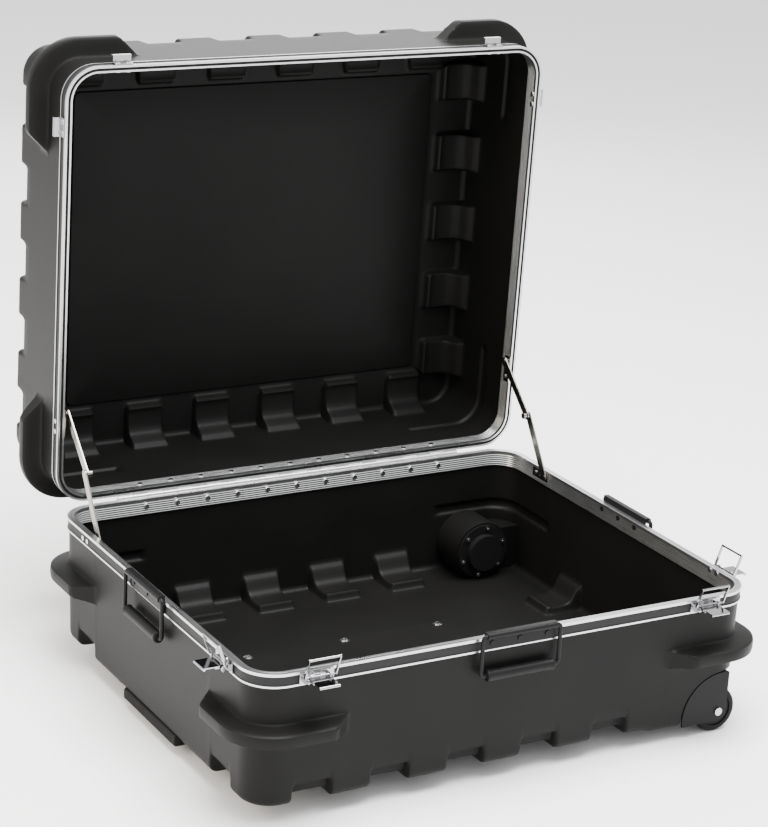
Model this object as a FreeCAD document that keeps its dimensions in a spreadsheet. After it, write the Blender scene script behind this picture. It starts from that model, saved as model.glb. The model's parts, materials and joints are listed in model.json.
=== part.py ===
import FreeCAD, Part
import math
import os

import Sketcher

# Moulded transit case for equipment, open at rest. +Z is up, the latches with the pull side face -Y,
# the wheels are at the +X end, and the origin lies on the floor under the centre of the base.
doc = FreeCAD.newDocument("transit_case")
sheet = doc.addObject("Spreadsheet::Sheet", "sizes")

SIZES = {
    # overall
    "case_length": 800, "case_depth": 665, "corner_radius": 50,
    "foot_height": 24, "rim_height": 220, "lid_height": 191, "open_angle": 88,
    # moulded shells
    "shell_inset": 2.6, "shell_wall": 4, "draft_angle": 1.2, "floor_round": 13,
    "bumper_out": 25, "bumper_root": 26.5, "bumper_face": 20, "bumper_slope": 3.5,
    "bumper_run": 141, "bumper_end": 29, "base_bumper_low": 95, "lid_bumper_low": 72,
    "notch_width": 57, "notch_pitch": 118.5, "notch_shift": 9, "notch_rise": 28, "notch_in": 14,
    "slot_rise": 11, "slot_in": 70, "side_notch": 228, "wheel_notch": 112, "wheel_foot_drop": 6, "wheel_foot_start": 216,
    "panel_length": 620, "panel_depth": 500, "panel_step": 3,
    # rim extrusion
    "band_inset": 1, "outer_leg": 1.4, "outer_leg_height": 20, "bead_height": 3,
    "lip_width": 10, "lip_height": 4, "inner_leg": 1.6, "inner_leg_height": 25, "rim_gap": 0.6,
    "groove_start": 3.4, "groove_end": 7.4, "groove_depth": 3,
    # hinge
    "hinge_out": 4, "hinge_length": 600, "knuckle_length": 25, "knuckle_radius": 3.2,
    "pin_radius": 1.5, "pin_clearance": 0.1, "leaf_thickness": 1.5, "leaf_height": 26,
    "hinge_rivet_pitch": 51.6, "hinge_rivet_drop": 13,
    "rivet_radius": 2.2, "rivet_head": 4, "rivet_head_height": 1.4, "hole_clearance": 0.1,
    # handles
    "plate_width": 112, "plate_bottom": 17, "plate_top": 6, "plate_thickness": 2.5,
    "barrel_radius": 4.5, "barrel_out": 7, "barrel_up": 4.5, "wire_radius": 3, "wire_clearance": 0.1,
    "bail_half": 62, "bail_drop": 57.5, "bail_bend": 6, "grip_radius": 9, "grip_length": 108,
    "handle_rivet_pitch": 44, "handle_rivet_drop": 8,
    # draw latches
    "latch_x": 311, "latch_y": 245, "latch_half": 25, "latch_plate": 1.6, "latch_low": 18, "latch_high": 1,
    "ear_gap": 17, "ear_thickness": 1.5, "ear_radius": 5, "lever_out": 9, "lever_down": 12,
    "latch_pin": 1.5, "lever_half": 15, "lever_sheet": 1.5, "lever_length": 28, "lever_hub": 3.6,
    "horn": 7, "horn_angle": 75, "hasp_half": 22, "hasp_bar": 4, "hasp_sheet": 1.6,
    "hasp_length": 30.3, "hasp_lean": 20, "latch_rivet_half": 8, "latch_rivet_drop": 5,
    "keeper_half": 14, "keeper_low": 3, "keeper_high": 13, "keeper_out": 12.5, "keeper_lip": 4,
    # wheels
    "wheel_x": 357, "wheel_radius": 34, "wheel_width": 34, "wheel_in": 25.6, "rim_radius": 24,
    "axle_radius": 4, "axle_clearance": 0.08, "well_x": 360, "well_z": 29.3, "well_radius": 65.4,
    "well_gap": 1.6, "well_depth": 50, "cover_in": 4.5, "cover_thickness": 3.4, "cover_right": 372,
    "cover_corner": 15, "fork_thickness": 3, "drum_start": 46, "drum_depth": 70, "drum_radius": 44,
    "cup_x": 312, "cup_z": 74, "cup_flange": 45,
    "cup_flange_thickness": 3, "cup_drum": 30, "cup_depth": 14, "cup_screw_circle": 39,
    # pull handle
    "tray_left": -372, "tray_right": 168, "tray_half": 108, "tray_top": 32, "tray_height": 18, "tray_wall": 3,
    "tube_y": 70, "tube_z": 23, "tube_radius": 7, "tube_right": 150, "collar_length": 20,
    "collar_radius": 8.4, "collar_clearance": 0.08, "pull_grip_left": -396, "pull_grip_right": -375,
    "pull_grip_half": 87, "pull_grip_low": 13, "pull_grip_high": 31, "pull_grip_round": 7,
    "skid_left": -335, "skid_right": 40, "skid_y": 84, "skid_width": 26,
    "floor_screw_x": -26.5, "floor_screw_pitch": 163.5, "floor_screw_y": 100,
    # folding lid stays
    "stay_base_y": 205, "stay_base_drop": 10, "stay_lid_y": 190, "stay_lid_rise": 8,
    "stay_arm": 104, "stay_width": 13, "stay_sheet": 2, "stay_lower_in": 14, "stay_upper_in": 17.6,
    "stay_pin": 2.5, "stay_clearance": 0.1, "stay_open_clearance": 0.6,
}
for row, (alias, number) in enumerate(SIZES.items(), start=1):
    sheet.set(f"A{row}", alias)
    sheet.set(f"B{row}", str(number))
    sheet.setAlias(f"B{row}", alias)
doc.recompute()

HALF_LENGTH = "sizes.case_length / 2"
HALF_DEPTH = "sizes.case_depth / 2"
RIM = "sizes.rim_height"
FOOT = "sizes.foot_height"
TRAY_TOP = "sizes.tray_top"
LID_RIM = "(sizes.rim_height + sizes.rim_gap)"
LID_TOP = "(sizes.rim_height + sizes.lid_height)"
HINGE_Y = "(sizes.case_depth / 2 + sizes.hinge_out)"
HINGE_Z = "(sizes.rim_height + sizes.rim_gap / 2)"
TURN = {
    "x": FreeCAD.Rotation(FreeCAD.Vector(0, 1, 0), 90),
    "y": FreeCAD.Rotation(FreeCAD.Vector(1, 0, 0), -90),
    "z": FreeCAD.Rotation(),
}
nodes = {}


# ---------------------------------------------------------------- working functions

def value(expression):
    """The number that an expression in the sheet's aliases gives."""
    return float(sheet.evalExpression(str(expression)))


def bind(thing, **expressions):
    """Binds properties of an object to expressions; x, y and z are its place."""
    for name, expression in expressions.items():
        path = f"Placement.Base.{name}" if name in ("x", "y", "z") else name
        thing.setExpression(path, str(expression))
    return thing


def box(name, low, high):
    """A block between two corners, each three expressions."""
    block = doc.addObject("Part::Box", name)
    sides = [f"({b}) - ({a})" for a, b in zip(low, high)]
    return bind(block, x=low[0], y=low[1], z=low[2], Length=sides[0], Width=sides[1], Height=sides[2])


def rod(name, axis, start, length, radius):
    """A cylinder along a row axis, from its start point towards that axis."""
    cylinder = doc.addObject("Part::Cylinder", name)
    cylinder.Placement.Rotation = TURN[axis]
    return bind(cylinder, x=start[0], y=start[1], z=start[2], Height=length, Radius=radius)


def fuse(name, shapes):
    joined = doc.addObject("Part::MultiFuse", name)
    joined.Shapes = list(shapes)
    return joined


def group(name, shapes):
    """Separate identical solids that share one node."""
    compound = doc.addObject("Part::Compound", name)
    compound.Links = list(shapes)
    return compound


def cut(name, base, tools):
    """The base less one tool or a list of tools."""
    remaining = doc.addObject("Part::Cut", name)
    remaining.Base = base
    remaining.Tool = fuse(name + "_tools", tools) if len(tools) > 1 else tools[0]
    return remaining


def common(name, shapes):
    overlap = doc.addObject("Part::MultiCommon", name)
    overlap.Shapes = list(shapes)
    return overlap


def frame(x, y, z, axis=(0, 0, 1), angle="0"):
    """A placement expression: a turn about an axis through the origin, then a move."""
    turn = f"create(<<rotation>>; create(<<vector>>; {axis[0]}; {axis[1]}; {axis[2]}); {angle})"
    return f"create(<<placement>>; create(<<vector>>; {x}; {y}; {z}); {turn})"


def about(x, y, z, axis, angle):
    """A placement expression: a turn about an axis through a point."""
    turn = f"create(<<rotation>>; create(<<vector>>; {axis[0]}; {axis[1]}; {axis[2]}); {angle})"
    centre = f"create(<<vector>>; {x}; {y}; {z})"
    return f"create(<<placement>>; create(<<vector>>; 0; 0; 0); {turn}; {centre})"


def copy_at(name, source, *frames):
    """A copy of a shape built in its own frame, placed by a product of frames."""
    linked = doc.addObject("Part::Compound", name)
    linked.Links = [source]
    linked.setExpression("Placement", " * ".join(frames))
    return linked


def node(name, thing, *frames):
    """Names a finished sub-part and, when frames are given, places it."""
    if frames:
        thing = copy_at(name, thing, *frames)
    thing.Label = name
    nodes[name] = thing
    return thing


def new_sketch(name, plane, offset):
    """A body and a sketch on one of its origin planes, moved off it by an expression."""
    body = doc.addObject("PartDesign::Body", name)
    sketch = body.newObject("Sketcher::SketchObject", name + "_outline")
    origin = next(f for f in body.Origin.OriginFeatures if f.Role == plane)
    sketch.AttachmentSupport = [(origin, "")]
    sketch.MapMode = "FlatFace"
    sketch.setExpression("AttachmentOffset.Base.z", str(offset))
    return body, sketch


def pad(body, sketch, name, length, taper=None):
    feature = body.newObject("PartDesign::Pad", name + "_pad")
    feature.Profile = sketch
    feature.setExpression("Length", str(length))
    if taper:
        feature.setExpression("TaperAngle", taper)
    sketch.Visibility = False
    return feature


def rounded_block(name, length, depth, radius, bottom, height, taper=None):
    """A block with four round upright corners, centred on the Z axis."""
    body, sketch = new_sketch(name, "XY_Plane", bottom)
    half_x, half_y, r = value(length) / 2, value(depth) / 2, value(radius)
    points = [(half_x - r, -half_y), (half_x, -half_y + r), (half_x, half_y - r), (half_x - r, half_y),
              (-half_x + r, half_y), (-half_x, half_y - r), (-half_x, -half_y + r), (-half_x + r, -half_y)]
    points = [FreeCAD.Vector(x, y, 0) for x, y in points]
    for corner in range(4):
        start, end, following = (points[(2 * corner + n) % 8] for n in range(3))
        centre = FreeCAD.Vector(math.copysign(half_x - r, start.x + end.x),
                                math.copysign(half_y - r, start.y + end.y), 0)
        circle = Part.Circle(centre, FreeCAD.Vector(0, 0, 1), r)
        turn = math.radians(90 * (corner - 1))
        sketch.addGeometry(Part.ArcOfCircle(circle, turn, turn + math.pi / 2), False)
        sketch.addGeometry(Part.LineSegment(end, following), False)
    rules = []
    for corner in range(4):
        arc, line, following = 2 * corner, 2 * corner + 1, (2 * corner + 2) % 8
        rules.append(Sketcher.Constraint("Tangent", arc, 2, line, 1))
        rules.append(Sketcher.Constraint("Tangent", line, 2, following, 1))
        rules.append(Sketcher.Constraint("Horizontal" if corner % 2 else "Vertical", line))
    rules += [Sketcher.Constraint("Equal", 0, arc) for arc in (2, 4, 6)]
    rules.append(Sketcher.Constraint("Symmetric", 0, 3, 4, 3, -1, 1))
    sketch.addConstraint(rules)
    for kind, rule, expression in (
        ("radius", Sketcher.Constraint("Radius", 0, r), radius),
        ("across", Sketcher.Constraint("DistanceX", 4, 3, 0, 3, 2 * (half_x - r)),
         f"({length}) - 2 * ({radius})"),
        ("along", Sketcher.Constraint("DistanceY", 0, 3, 4, 3, 2 * (half_y - r)),
         f"({depth}) - 2 * ({radius})"),
    ):
        sketch.addConstraint(rule)
        sketch.renameConstraint(sketch.ConstraintCount - 1, kind)
        sketch.setExpression("Constraints." + kind, expression)
    pad(body, sketch, name, height, taper)
    return body


def polygon_block(name, plane, offset, height, loops):
    """A prism on straight-sided outlines; each corner is a pair of expressions from the origin."""
    body, sketch = new_sketch(name, plane, offset)
    first = 0
    for loop in loops:
        corners = [FreeCAD.Vector(value(x), value(y), 0) for x, y in loop]
        for start, end in zip(corners, corners[1:] + corners[:1]):
            sketch.addGeometry(Part.LineSegment(start, end), False)
        count = len(loop)
        for n in range(count):
            sketch.addConstraint(
                Sketcher.Constraint("Coincident", first + n, 2, first + (n + 1) % count, 1))
        for n, (place, corner) in enumerate(zip(loop, corners)):
            for kind, across, number in (("DistanceX", place[0], corner.x),
                                         ("DistanceY", place[1], corner.y)):
                sketch.addConstraint(Sketcher.Constraint(kind, -1, 1, first + n, 1, number))
                label = f"{kind}_{first + n}"
                sketch.renameConstraint(sketch.ConstraintCount - 1, label)
                sketch.setExpression("Constraints." + label, str(across))
        first += count
    pad(body, sketch, name, height)
    return body


def ring(name, outside, inside, bottom, top):
    """A band that follows the rim, between two insets from the outer face and two heights."""
    blocks = []
    for part, inset, low, high in (("outer", outside, bottom, top),
                                   ("inner", inside, f"({bottom}) - 1", f"({top}) + 1")):
        blocks.append(rounded_block(
            f"{name}_{part}", f"sizes.case_length - 2 * ({inset})", f"sizes.case_depth - 2 * ({inset})",
            f"sizes.corner_radius - ({inset})", low, f"({high}) - ({low})"))
    return cut(name, blocks[0], [blocks[1]])


# ---------------------------------------------------------------- where hardware sits on the walls

def wall(side, along="0"):
    """The frame of a wall's outer face at rim height: X runs along the wall and -Y points outwards."""
    if side == "front":
        return frame(along, f"-{HALF_DEPTH}", RIM)
    if side == "left":
        return frame(f"-{HALF_LENGTH}", f"-({along})", RIM, angle="-90")
    return frame(HALF_LENGTH, along, RIM, angle="90")


LID_OPEN = about("0", HINGE_Y, HINGE_Z, (1, 0, 0), "-sizes.open_angle")
HANDLE_WALLS = {"front": wall("front"), "left": wall("left"), "right": wall("right")}
LATCH_WALLS = {
    "front_left": wall("front", "-sizes.latch_x"),
    "front_right": wall("front", "sizes.latch_x"),
    "left": wall("left", "sizes.latch_y"),
    "right": wall("right", "-sizes.latch_y"),
}
SIGNS = ((1, "right"), (-1, "left"))


# ---------------------------------------------------------------- fasteners through the rim

def rivet(name, x, z, outer, inner, radius="sizes.rivet_radius", head="sizes.rivet_head"):
    """A rivet along the wall frame's Y axis, with a head beyond each of two depths."""
    shank = rod(name + "_shank", "y", (x, outer, z), f"({inner}) - ({outer})", radius)
    heads = [rod(name + "_front", "y", (x, f"({outer}) - sizes.rivet_head_height", z),
                 "sizes.rivet_head_height", head),
             rod(name + "_back", "y", (x, inner, z), "sizes.rivet_head_height", head)]
    return fuse(name, [shank] + heads)


def rivet_hole(name, x, z, outer="-8", inner="14"):
    """The clearance hole of a rivet, through everything between two depths."""
    return rod(name, "y", (x, outer, z), f"({inner}) - ({outer})", "sizes.rivet_radius + sizes.hole_clearance")


RIM_INSIDE = "sizes.lip_width"


def rivets_at(name, places, outer, walls):
    """A set of rivets at wall-frame places, repeated on each named wall, with their holes."""
    pieces, holes = [], []
    for side, wall_frame in walls.items():
        for n, (x, z) in enumerate(places):
            label = f"{name}_{side}_{n}"
            pieces.append(copy_at(label + "_set", rivet(label, x, z, outer, RIM_INSIDE), wall_frame))
            holes.append(copy_at(label + "_hole", rivet_hole(label + "_bore", x, z), wall_frame))
    return pieces, holes


handle_rivet_places = [(f"{n} * sizes.handle_rivet_pitch", "-sizes.handle_rivet_drop") for n in (-1, 0, 1)]
handle_rivets, handle_holes = rivets_at(
    "handle_rivet", handle_rivet_places, "-sizes.plate_thickness", HANDLE_WALLS)
latch_rivet_places = [(f"{n} * sizes.latch_rivet_half", "-sizes.latch_rivet_drop") for n in (-1, 1)]
latch_rivets, latch_holes = rivets_at(
    "latch_rivet", latch_rivet_places, "-sizes.latch_plate", LATCH_WALLS)
keeper_rivet_places = [(f"{n} * sizes.latch_rivet_half", "sizes.keeper_low + 4.5") for n in (-1, 1)]
keeper_rivets, keeper_holes = rivets_at(
    "keeper_rivet", keeper_rivet_places, "-sizes.latch_plate", LATCH_WALLS)

back_wall = frame("0", HALF_DEPTH, RIM, angle="180")
hinge_columns = [f"{n} * sizes.hinge_rivet_pitch" for n in range(-5, 6)]
leaf_back = "-(sizes.leaf_thickness + 0.1)"
base_hinge_rivets, base_hinge_holes = rivets_at(
    "base_hinge_rivet", [(x, "-sizes.hinge_rivet_drop") for x in hinge_columns], leaf_back,
    {"back": back_wall})
lid_hinge_rivets, lid_hinge_holes = rivets_at(
    "lid_hinge_rivet", [(x, "sizes.hinge_rivet_drop") for x in hinge_columns], leaf_back,
    {"back": back_wall})

stay_rivet_x = ("12", "28")
STAY_PLATE = "(sizes.lip_width + sizes.stay_sheet)"


def stay_rivets_at(name, rise, along):
    """Rivets of the stay brackets: the flat head is outside and the bracket is inside."""
    pieces, holes = [], []
    for sign, side in SIGNS:
        wall_frame = wall(side, f"{sign} * ({along})")
        for n, shift in enumerate(stay_rivet_x):
            label = f"{name}_{side}_{n}"
            shape = rivet(label, f"{sign} * {shift}", rise, "sizes.band_inset", STAY_PLATE, head="3.6")
            pieces.append(copy_at(label + "_set", shape, wall_frame))
            bore = rivet_hole(label + "_bore", f"{sign} * {shift}", rise)
            holes.append(copy_at(label + "_hole", bore, wall_frame))
    return pieces, holes


stay_base_rivets, stay_base_holes = stay_rivets_at("stay_base", "-sizes.stay_base_drop - 1", "sizes.stay_base_y")
stay_lid_rivets, stay_lid_holes = stay_rivets_at("stay_lid", "sizes.stay_lid_rise + 3", "sizes.stay_lid_y")

base_holes = group("base_holes", handle_holes + latch_holes + base_hinge_holes + stay_base_holes)
lid_holes = group("lid_holes", keeper_holes + lid_hinge_holes + stay_lid_holes)
node("handle_rivets", group("handle_rivet_set", handle_rivets))
node("latch_rivets", group("latch_rivet_set", latch_rivets))
node("base_rivets", group("base_rivet_set", base_hinge_rivets + stay_base_rivets))
node("lid_rivets", group("lid_rivet_set", lid_hinge_rivets + keeper_rivets + stay_lid_rivets), LID_OPEN)


# ---------------------------------------------------------------- moulded shells

def shell_block(name, inset, mouth, base, growth):
    """A tapered tub, mouth up or down, whose closed face is rounded; growth is the mouth's side."""
    span = f"abs(({mouth}) - ({base}))"
    shrink = f"({span}) * tan(sizes.draft_angle)"
    length = f"sizes.case_length - 2 * ({inset}) - 2 * {shrink}"
    depth = f"sizes.case_depth - 2 * ({inset}) - 2 * {shrink}"
    radius = f"sizes.corner_radius - ({inset}) - {shrink}"
    body = rounded_block(name, length, depth, radius, "0", span, "sizes.draft_angle")
    doc.recompute()
    solid = body.Tip
    edges = [f"Edge{n}" for n, edge in enumerate(solid.Shape.Edges, 1)
             if abs(edge.BoundBox.ZMax) < 0.01 and abs(edge.BoundBox.ZMin) < 0.01]
    rounding = body.newObject("PartDesign::Fillet", name + "_round")
    rounding.Base = (solid, edges)
    rounding.setExpression("Radius", f"sizes.floor_round - ({inset}) + sizes.shell_inset")
    if growth > 0:
        return copy_at(name + "_set", body, frame("0", "0", base))
    return copy_at(name + "_set", body, frame("0", "0", base, axis=(1, 0, 0), angle="180"))


def bumper_ring(name, low):
    """The ring whose corners are the bumpers: a sloped foot, an upright face and a sloped head."""
    out, root = "sizes.bumper_out", "sizes.shell_inset + 7"
    widths = (("foot", "0", "sizes.bumper_slope", 1), ("face", "sizes.bumper_slope", "sizes.bumper_face", 0),
              ("head", "sizes.bumper_slope + sizes.bumper_face",
               "sizes.bumper_root - sizes.bumper_slope - sizes.bumper_face", -1))
    blocks = []
    for part, start, height, slope in widths:
        angle = f"atan(({out} + {root}) / ({height}))"
        inset = {1: root, 0: f"-{out}", -1: f"-{out}"}[slope]
        blocks.append(rounded_block(
            f"{name}_{part}", f"sizes.case_length - 2 * ({inset})", f"sizes.case_depth - 2 * ({inset})",
            f"sizes.corner_radius - ({inset})", f"{low} + {start}", height,
            None if slope == 0 else f"{slope} * {angle}"))
    corners = []
    for sx, sy in ((1, 1), (-1, 1), (-1, -1), (1, -1)):
        run_x = f"({HALF_LENGTH} - sizes.bumper_run)"
        run_y = f"({HALF_DEPTH} - sizes.bumper_run)"
        tip_x, tip_y = f"({run_x} + 2 * sizes.bumper_end)", f"({run_y} + 2 * sizes.bumper_end)"
        far_x, far_y = f"({HALF_LENGTH} + 2 * {out})", f"({HALF_DEPTH} + 2 * {out})"
        outline = [(run_x, run_y), (run_x, HALF_DEPTH), (tip_x, far_y), (far_x, far_y),
                   (far_x, tip_y), (HALF_LENGTH, run_y)]
        corners.append([(f"{sx} * ({x})", f"{sy} * ({y})") for x, y in outline])
    mask = polygon_block(name + "_corners", "XY_Plane", low, "sizes.bumper_root", corners)
    return common(name + "_bumpers", [fuse(name + "_stack", blocks), mask])


def notch(name, wall_frame, along, wall_gap, floor, grow, up):
    """A grip notch: a bite out of the wall's foot that runs in under the floor."""
    half = f"(sizes.notch_width / 2 + {grow})"
    sign = 1 if up else -1
    bites = []
    for part, depth, rise in (("bite", "sizes.notch_in", "sizes.notch_rise"),
                              ("slot", "sizes.slot_in", "sizes.slot_rise")):
        z = sorted((f"({floor}) - {sign * 30}", f"({floor}) + {sign} * ({rise} + {grow})"), key=value)
        bites.append(box(f"{name}_{part}", (f"({along}) - {half}", "-30", z[0]),
                         (f"({along}) + {half}", f"({wall_gap}) + {depth} + {grow}", z[1])))
    return copy_at(name, fuse(name + "_both", bites), wall_frame)


def notches(name, plan, floor, grow, up):
    """All notches of a shell; plan lists the wall frame and the places along it."""
    return [notch(f"{name}_{side}_{n}", wall_frame, along, "sizes.shell_inset + 3", floor, grow, up)
            for side, wall_frame, places in plan for n, along in enumerate(places)]


def pitches(numbers):
    return [f"{n} * sizes.notch_pitch" for n in numbers]


HALVES = (-2.5, -1.5, -0.5, 0.5, 1.5, 2.5)
front_frame = frame("0", f"-{HALF_DEPTH}", "0")
back_frame = frame("0", HALF_DEPTH, "0", angle="180")
left_frame = frame(f"-{HALF_LENGTH}", "0", "0", angle="-90")
right_frame = frame(HALF_LENGTH, "0", "0", angle="90")
shifted = [f"{place} - sizes.notch_shift" for place in pitches(HALVES[:5])]
base_plan = (("front", front_frame, shifted), ("back", back_frame, pitches(HALVES[1:])),
             ("left", left_frame, ["-sizes.side_notch", "sizes.side_notch"]),
             ("right", right_frame, ["sizes.wheel_notch"]))
lid_plan = (("front", front_frame, pitches(HALVES)), ("back", back_frame, pitches(HALVES)),
            ("left", left_frame, pitches((-2, -1, 0, 1, 2))), ("right", right_frame, pitches((-2, -1, 0, 1, 2))))


def inward(sign, depth, length):
    """The lower Y of a span that starts a depth in from the front or rear outer face."""
    return f"-{HALF_DEPTH} + ({depth})" if sign < 0 else f"{HALF_DEPTH} - ({depth}) - ({length})"


def across(name, sign, depth, length, x, z, radius):
    """A cylinder along Y that starts a depth in from the front or rear outer face and runs inwards."""
    return rod(name, "y", (x, inward(sign, depth, length), z), length, radius)


def slab_across(name, sign, depth, length, low, high):
    """A block between two X, Z corners that starts a depth in from the front or rear outer face."""
    near = inward(sign, depth, length)
    return box(name, (low[0], near, low[1]), (high[0], f"{near} + ({length})", high[1]))


def wheel_well(name, sign, grow):
    """The corner pocket for one wheel: a round roof open to the end, the side and below, and a drum."""
    radius = f"sizes.well_radius + sizes.well_gap + {grow}"
    depth = f"sizes.well_depth + {grow} + 30"
    drum_start = f"sizes.drum_start - {grow}"
    return fuse(name, [
        across(f"{name}_roof", sign, "-30", depth, "sizes.well_x", "sizes.well_z", radius),
        slab_across(f"{name}_end", sign, "-30", depth, ("sizes.well_x", "sizes.foot_height - 40"),
                    (f"{HALF_LENGTH} + 40", f"sizes.well_z + {radius}")),
        across(f"{name}_drum", sign, drum_start, f"sizes.drum_depth + {grow} - ({drum_start})",
               "sizes.cup_x", "sizes.cup_z", f"sizes.drum_radius + {grow}"),
    ])


def wheel_foot(name, sign, shave):
    """The deeper foot beside a wheel well."""
    near, far = f"{HALF_DEPTH} - 96", f"{HALF_DEPTH} - sizes.shell_inset - 8"
    low, high = (near, far) if sign > 0 else (f"-({far})", f"-({near})")
    return box(name, ("sizes.wheel_foot_start", low, f"{FOOT} - sizes.wheel_foot_drop"),
               ("sizes.well_x - 45", high, f"{FOOT} + {shave}"))


def tray_recess(name, grow):
    """The shallow bay under the floor that takes the pull handle's tray, open at the left end."""
    half = f"(sizes.tray_half + 1 + {grow})"
    return box(name, (f"-{HALF_LENGTH} - 30", f"-{half}", f"{FOOT} - 30"),
               (f"sizes.tray_right + 2 + {grow}", half, f"{TRAY_TOP} + {grow}"))


lip_under = f"{RIM} - sizes.lip_height"
base_outer = fuse("base_outer", [
    shell_block("base_tub", "sizes.shell_inset", lip_under, FOOT, 1),
    wheel_foot("front_wheel_foot", -1, "14"), wheel_foot("rear_wheel_foot", 1, "14")])
base_cavity = cut("base_cavity", shell_block(
    "base_hollow", "sizes.shell_inset + sizes.shell_wall", f"{RIM} + 5", f"{FOOT} + sizes.shell_wall", 1),
    notches("inner_notch", base_plan, FOOT, "sizes.shell_wall", True)
    + [wheel_well("front_well_wall", -1, "sizes.shell_wall"), wheel_well("rear_well_wall", 1, "sizes.shell_wall"),
       tray_recess("recess_wall", "sizes.shell_wall")])
base_cutters = notches("base_notch", base_plan, FOOT, "0", True) + [
    wheel_well("front_well", -1, "0"), wheel_well("rear_well", 1, "0"), tray_recess("recess", "0")]
screw_columns = [f"sizes.floor_screw_x + {n} * sizes.floor_screw_pitch" for n in (-1, 0, 1)]
floor_screw_places = [(x, f"{sy} * sizes.floor_screw_y") for x in screw_columns for sy in (-1, 1)]
screw_holes = [rod(f"floor_hole_{n}", "z", (x, y, f"{FOOT} - 20"), "40", "sizes.rivet_radius + 0.1")
               for n, (x, y) in enumerate(floor_screw_places)]
cup_angles = [20 + 60 * n for n in range(6)]
cup_screw_places = [(f"sizes.cup_x + sizes.cup_screw_circle * cos({a})",
                     f"sizes.cup_z + sizes.cup_screw_circle * sin({a})") for a in cup_angles]
cup_holes = [rod(f"cup_hole_{side}_{n}", "y", (x, start, z), "30", "1.8")
             for side, start in (("front", f"-{HALF_DEPTH} + sizes.drum_depth - 10"), ("rear", f"{HALF_DEPTH} - sizes.drum_depth - 20"))
             for n, (x, z) in enumerate(cup_screw_places)]
node("base_shell", cut("base_moulding", base_outer,
                       [base_cavity] + base_cutters + [base_holes] + screw_holes + cup_holes))
node("base_bumpers", cut("base_bumper_set", bumper_ring("base_bumper", f"({FOOT} + sizes.base_bumper_low)"),
                         [base_outer, base_cavity] + base_cutters))

lid_low = f"({LID_RIM} + sizes.lip_height)"
lid_outer = shell_block("lid_tub", "sizes.shell_inset", lid_low, LID_TOP, -1)
lid_cavity = cut("lid_cavity", shell_block(
    "lid_hollow", "sizes.shell_inset + sizes.shell_wall", f"{RIM} - 5", f"{LID_TOP} - sizes.shell_wall", -1),
    notches("lid_inner_notch", lid_plan, LID_TOP, "sizes.shell_wall", False)
    + [rounded_block("lid_panel_back", "sizes.panel_length + 8", "sizes.panel_depth + 8", "12",
                     f"{LID_TOP} - sizes.shell_wall - sizes.panel_step", "30")])
lid_cutters = notches("lid_notch", lid_plan, LID_TOP, "0", False) + [
    rounded_block("lid_panel", "sizes.panel_length", "sizes.panel_depth", "12",
                  f"{LID_TOP} - sizes.panel_step", "30")]
node("lid_shell", cut("lid_moulding", lid_outer, [lid_cavity] + lid_cutters + [lid_holes]), LID_OPEN)
node("lid_bumpers", cut("lid_bumper_set", bumper_ring("lid_bumper", f"({RIM} + sizes.lid_bumper_low)"),
                        [lid_outer, lid_cavity] + lid_cutters), LID_OPEN)


# ---------------------------------------------------------------- aluminium rims and gasket

def valance(name, edge, sign):
    """The extruded rim: outer leg with a bead, a lip over the shell's edge and a ribbed inner leg."""
    def span(depth, start="0"):
        return sorted((f"({edge}) - {sign} * ({start})", f"({edge}) - {sign} * ({depth})"), key=value)
    bead_start = "sizes.outer_leg_height - sizes.bead_height"
    leg_inside = "sizes.band_inset + sizes.outer_leg"
    parts = [
        ring(name + "_band", "sizes.band_inset", leg_inside, *span("sizes.outer_leg_height")),
        ring(name + "_bead", "0", leg_inside, *span("sizes.outer_leg_height", bead_start)),
        ring(name + "_lip", "0", "sizes.lip_width", *span("sizes.lip_height")),
        ring(name + "_leg", "sizes.lip_width - sizes.inner_leg", "sizes.lip_width",
             *span("sizes.inner_leg_height")),
    ]
    return fuse(name + "_extrusion", parts)


node("base_valance", cut("base_rim", valance("base_valance", RIM, 1), [base_holes]))
lid_extrusion = valance("lid_valance", LID_RIM, -1)
groove = ring("gasket_groove", "sizes.groove_start", "sizes.groove_end",
              f"{LID_RIM} - 1", f"{LID_RIM} + sizes.groove_depth")
node("lid_valance", cut("lid_rim", lid_extrusion, [groove, lid_holes]), LID_OPEN)
node("lid_gasket", ring("gasket", "sizes.groove_start + 0.1", "sizes.groove_end - 0.1",
                        LID_RIM, f"{LID_RIM} + sizes.groove_depth - 0.05"), LID_OPEN)


# ---------------------------------------------------------------- piano hinge

def hinge_leaf(name, sign, first, holes):
    """A hinge leaf on the outer face of a rim: a plate and every second knuckle, bored for the pin."""
    inner, outer = f"{HALF_DEPTH} + 0.1", f"{HALF_DEPTH} + 0.1 + sizes.leaf_thickness"
    start, end = f"({HINGE_Z}) - {sign} * 4", f"({HINGE_Z}) - {sign} * sizes.leaf_height"
    low, high = sorted((start, end), key=value)
    half = "sizes.hinge_length / 2"
    plate = box(name + "_plate", (f"-{half}", inner, low), (half, outer, high))
    pieces = [plate]
    count = int(value("sizes.hinge_length / sizes.knuckle_length"))
    low, high = sorted((start, HINGE_Z), key=value)
    for n in range(first, count, 2):
        x = f"{n} * sizes.knuckle_length - {half} + 0.2"
        end_x = f"{n + 1} * sizes.knuckle_length - {half} - 0.2"
        pieces.append(rod(f"{name}_knuckle_{n}", "x", (x, HINGE_Y, HINGE_Z),
                          "sizes.knuckle_length - 0.4", "sizes.knuckle_radius"))
        pieces.append(box(f"{name}_web_{n}", (x, inner, low), (end_x, outer, high)))
    bore = rod(name + "_bore", "x", (f"-{half} - 5", HINGE_Y, HINGE_Z), "sizes.hinge_length + 10",
               "sizes.pin_radius + sizes.pin_clearance")
    return cut(name + "_bored", fuse(name + "_blank", pieces), [bore] + holes)


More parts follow.
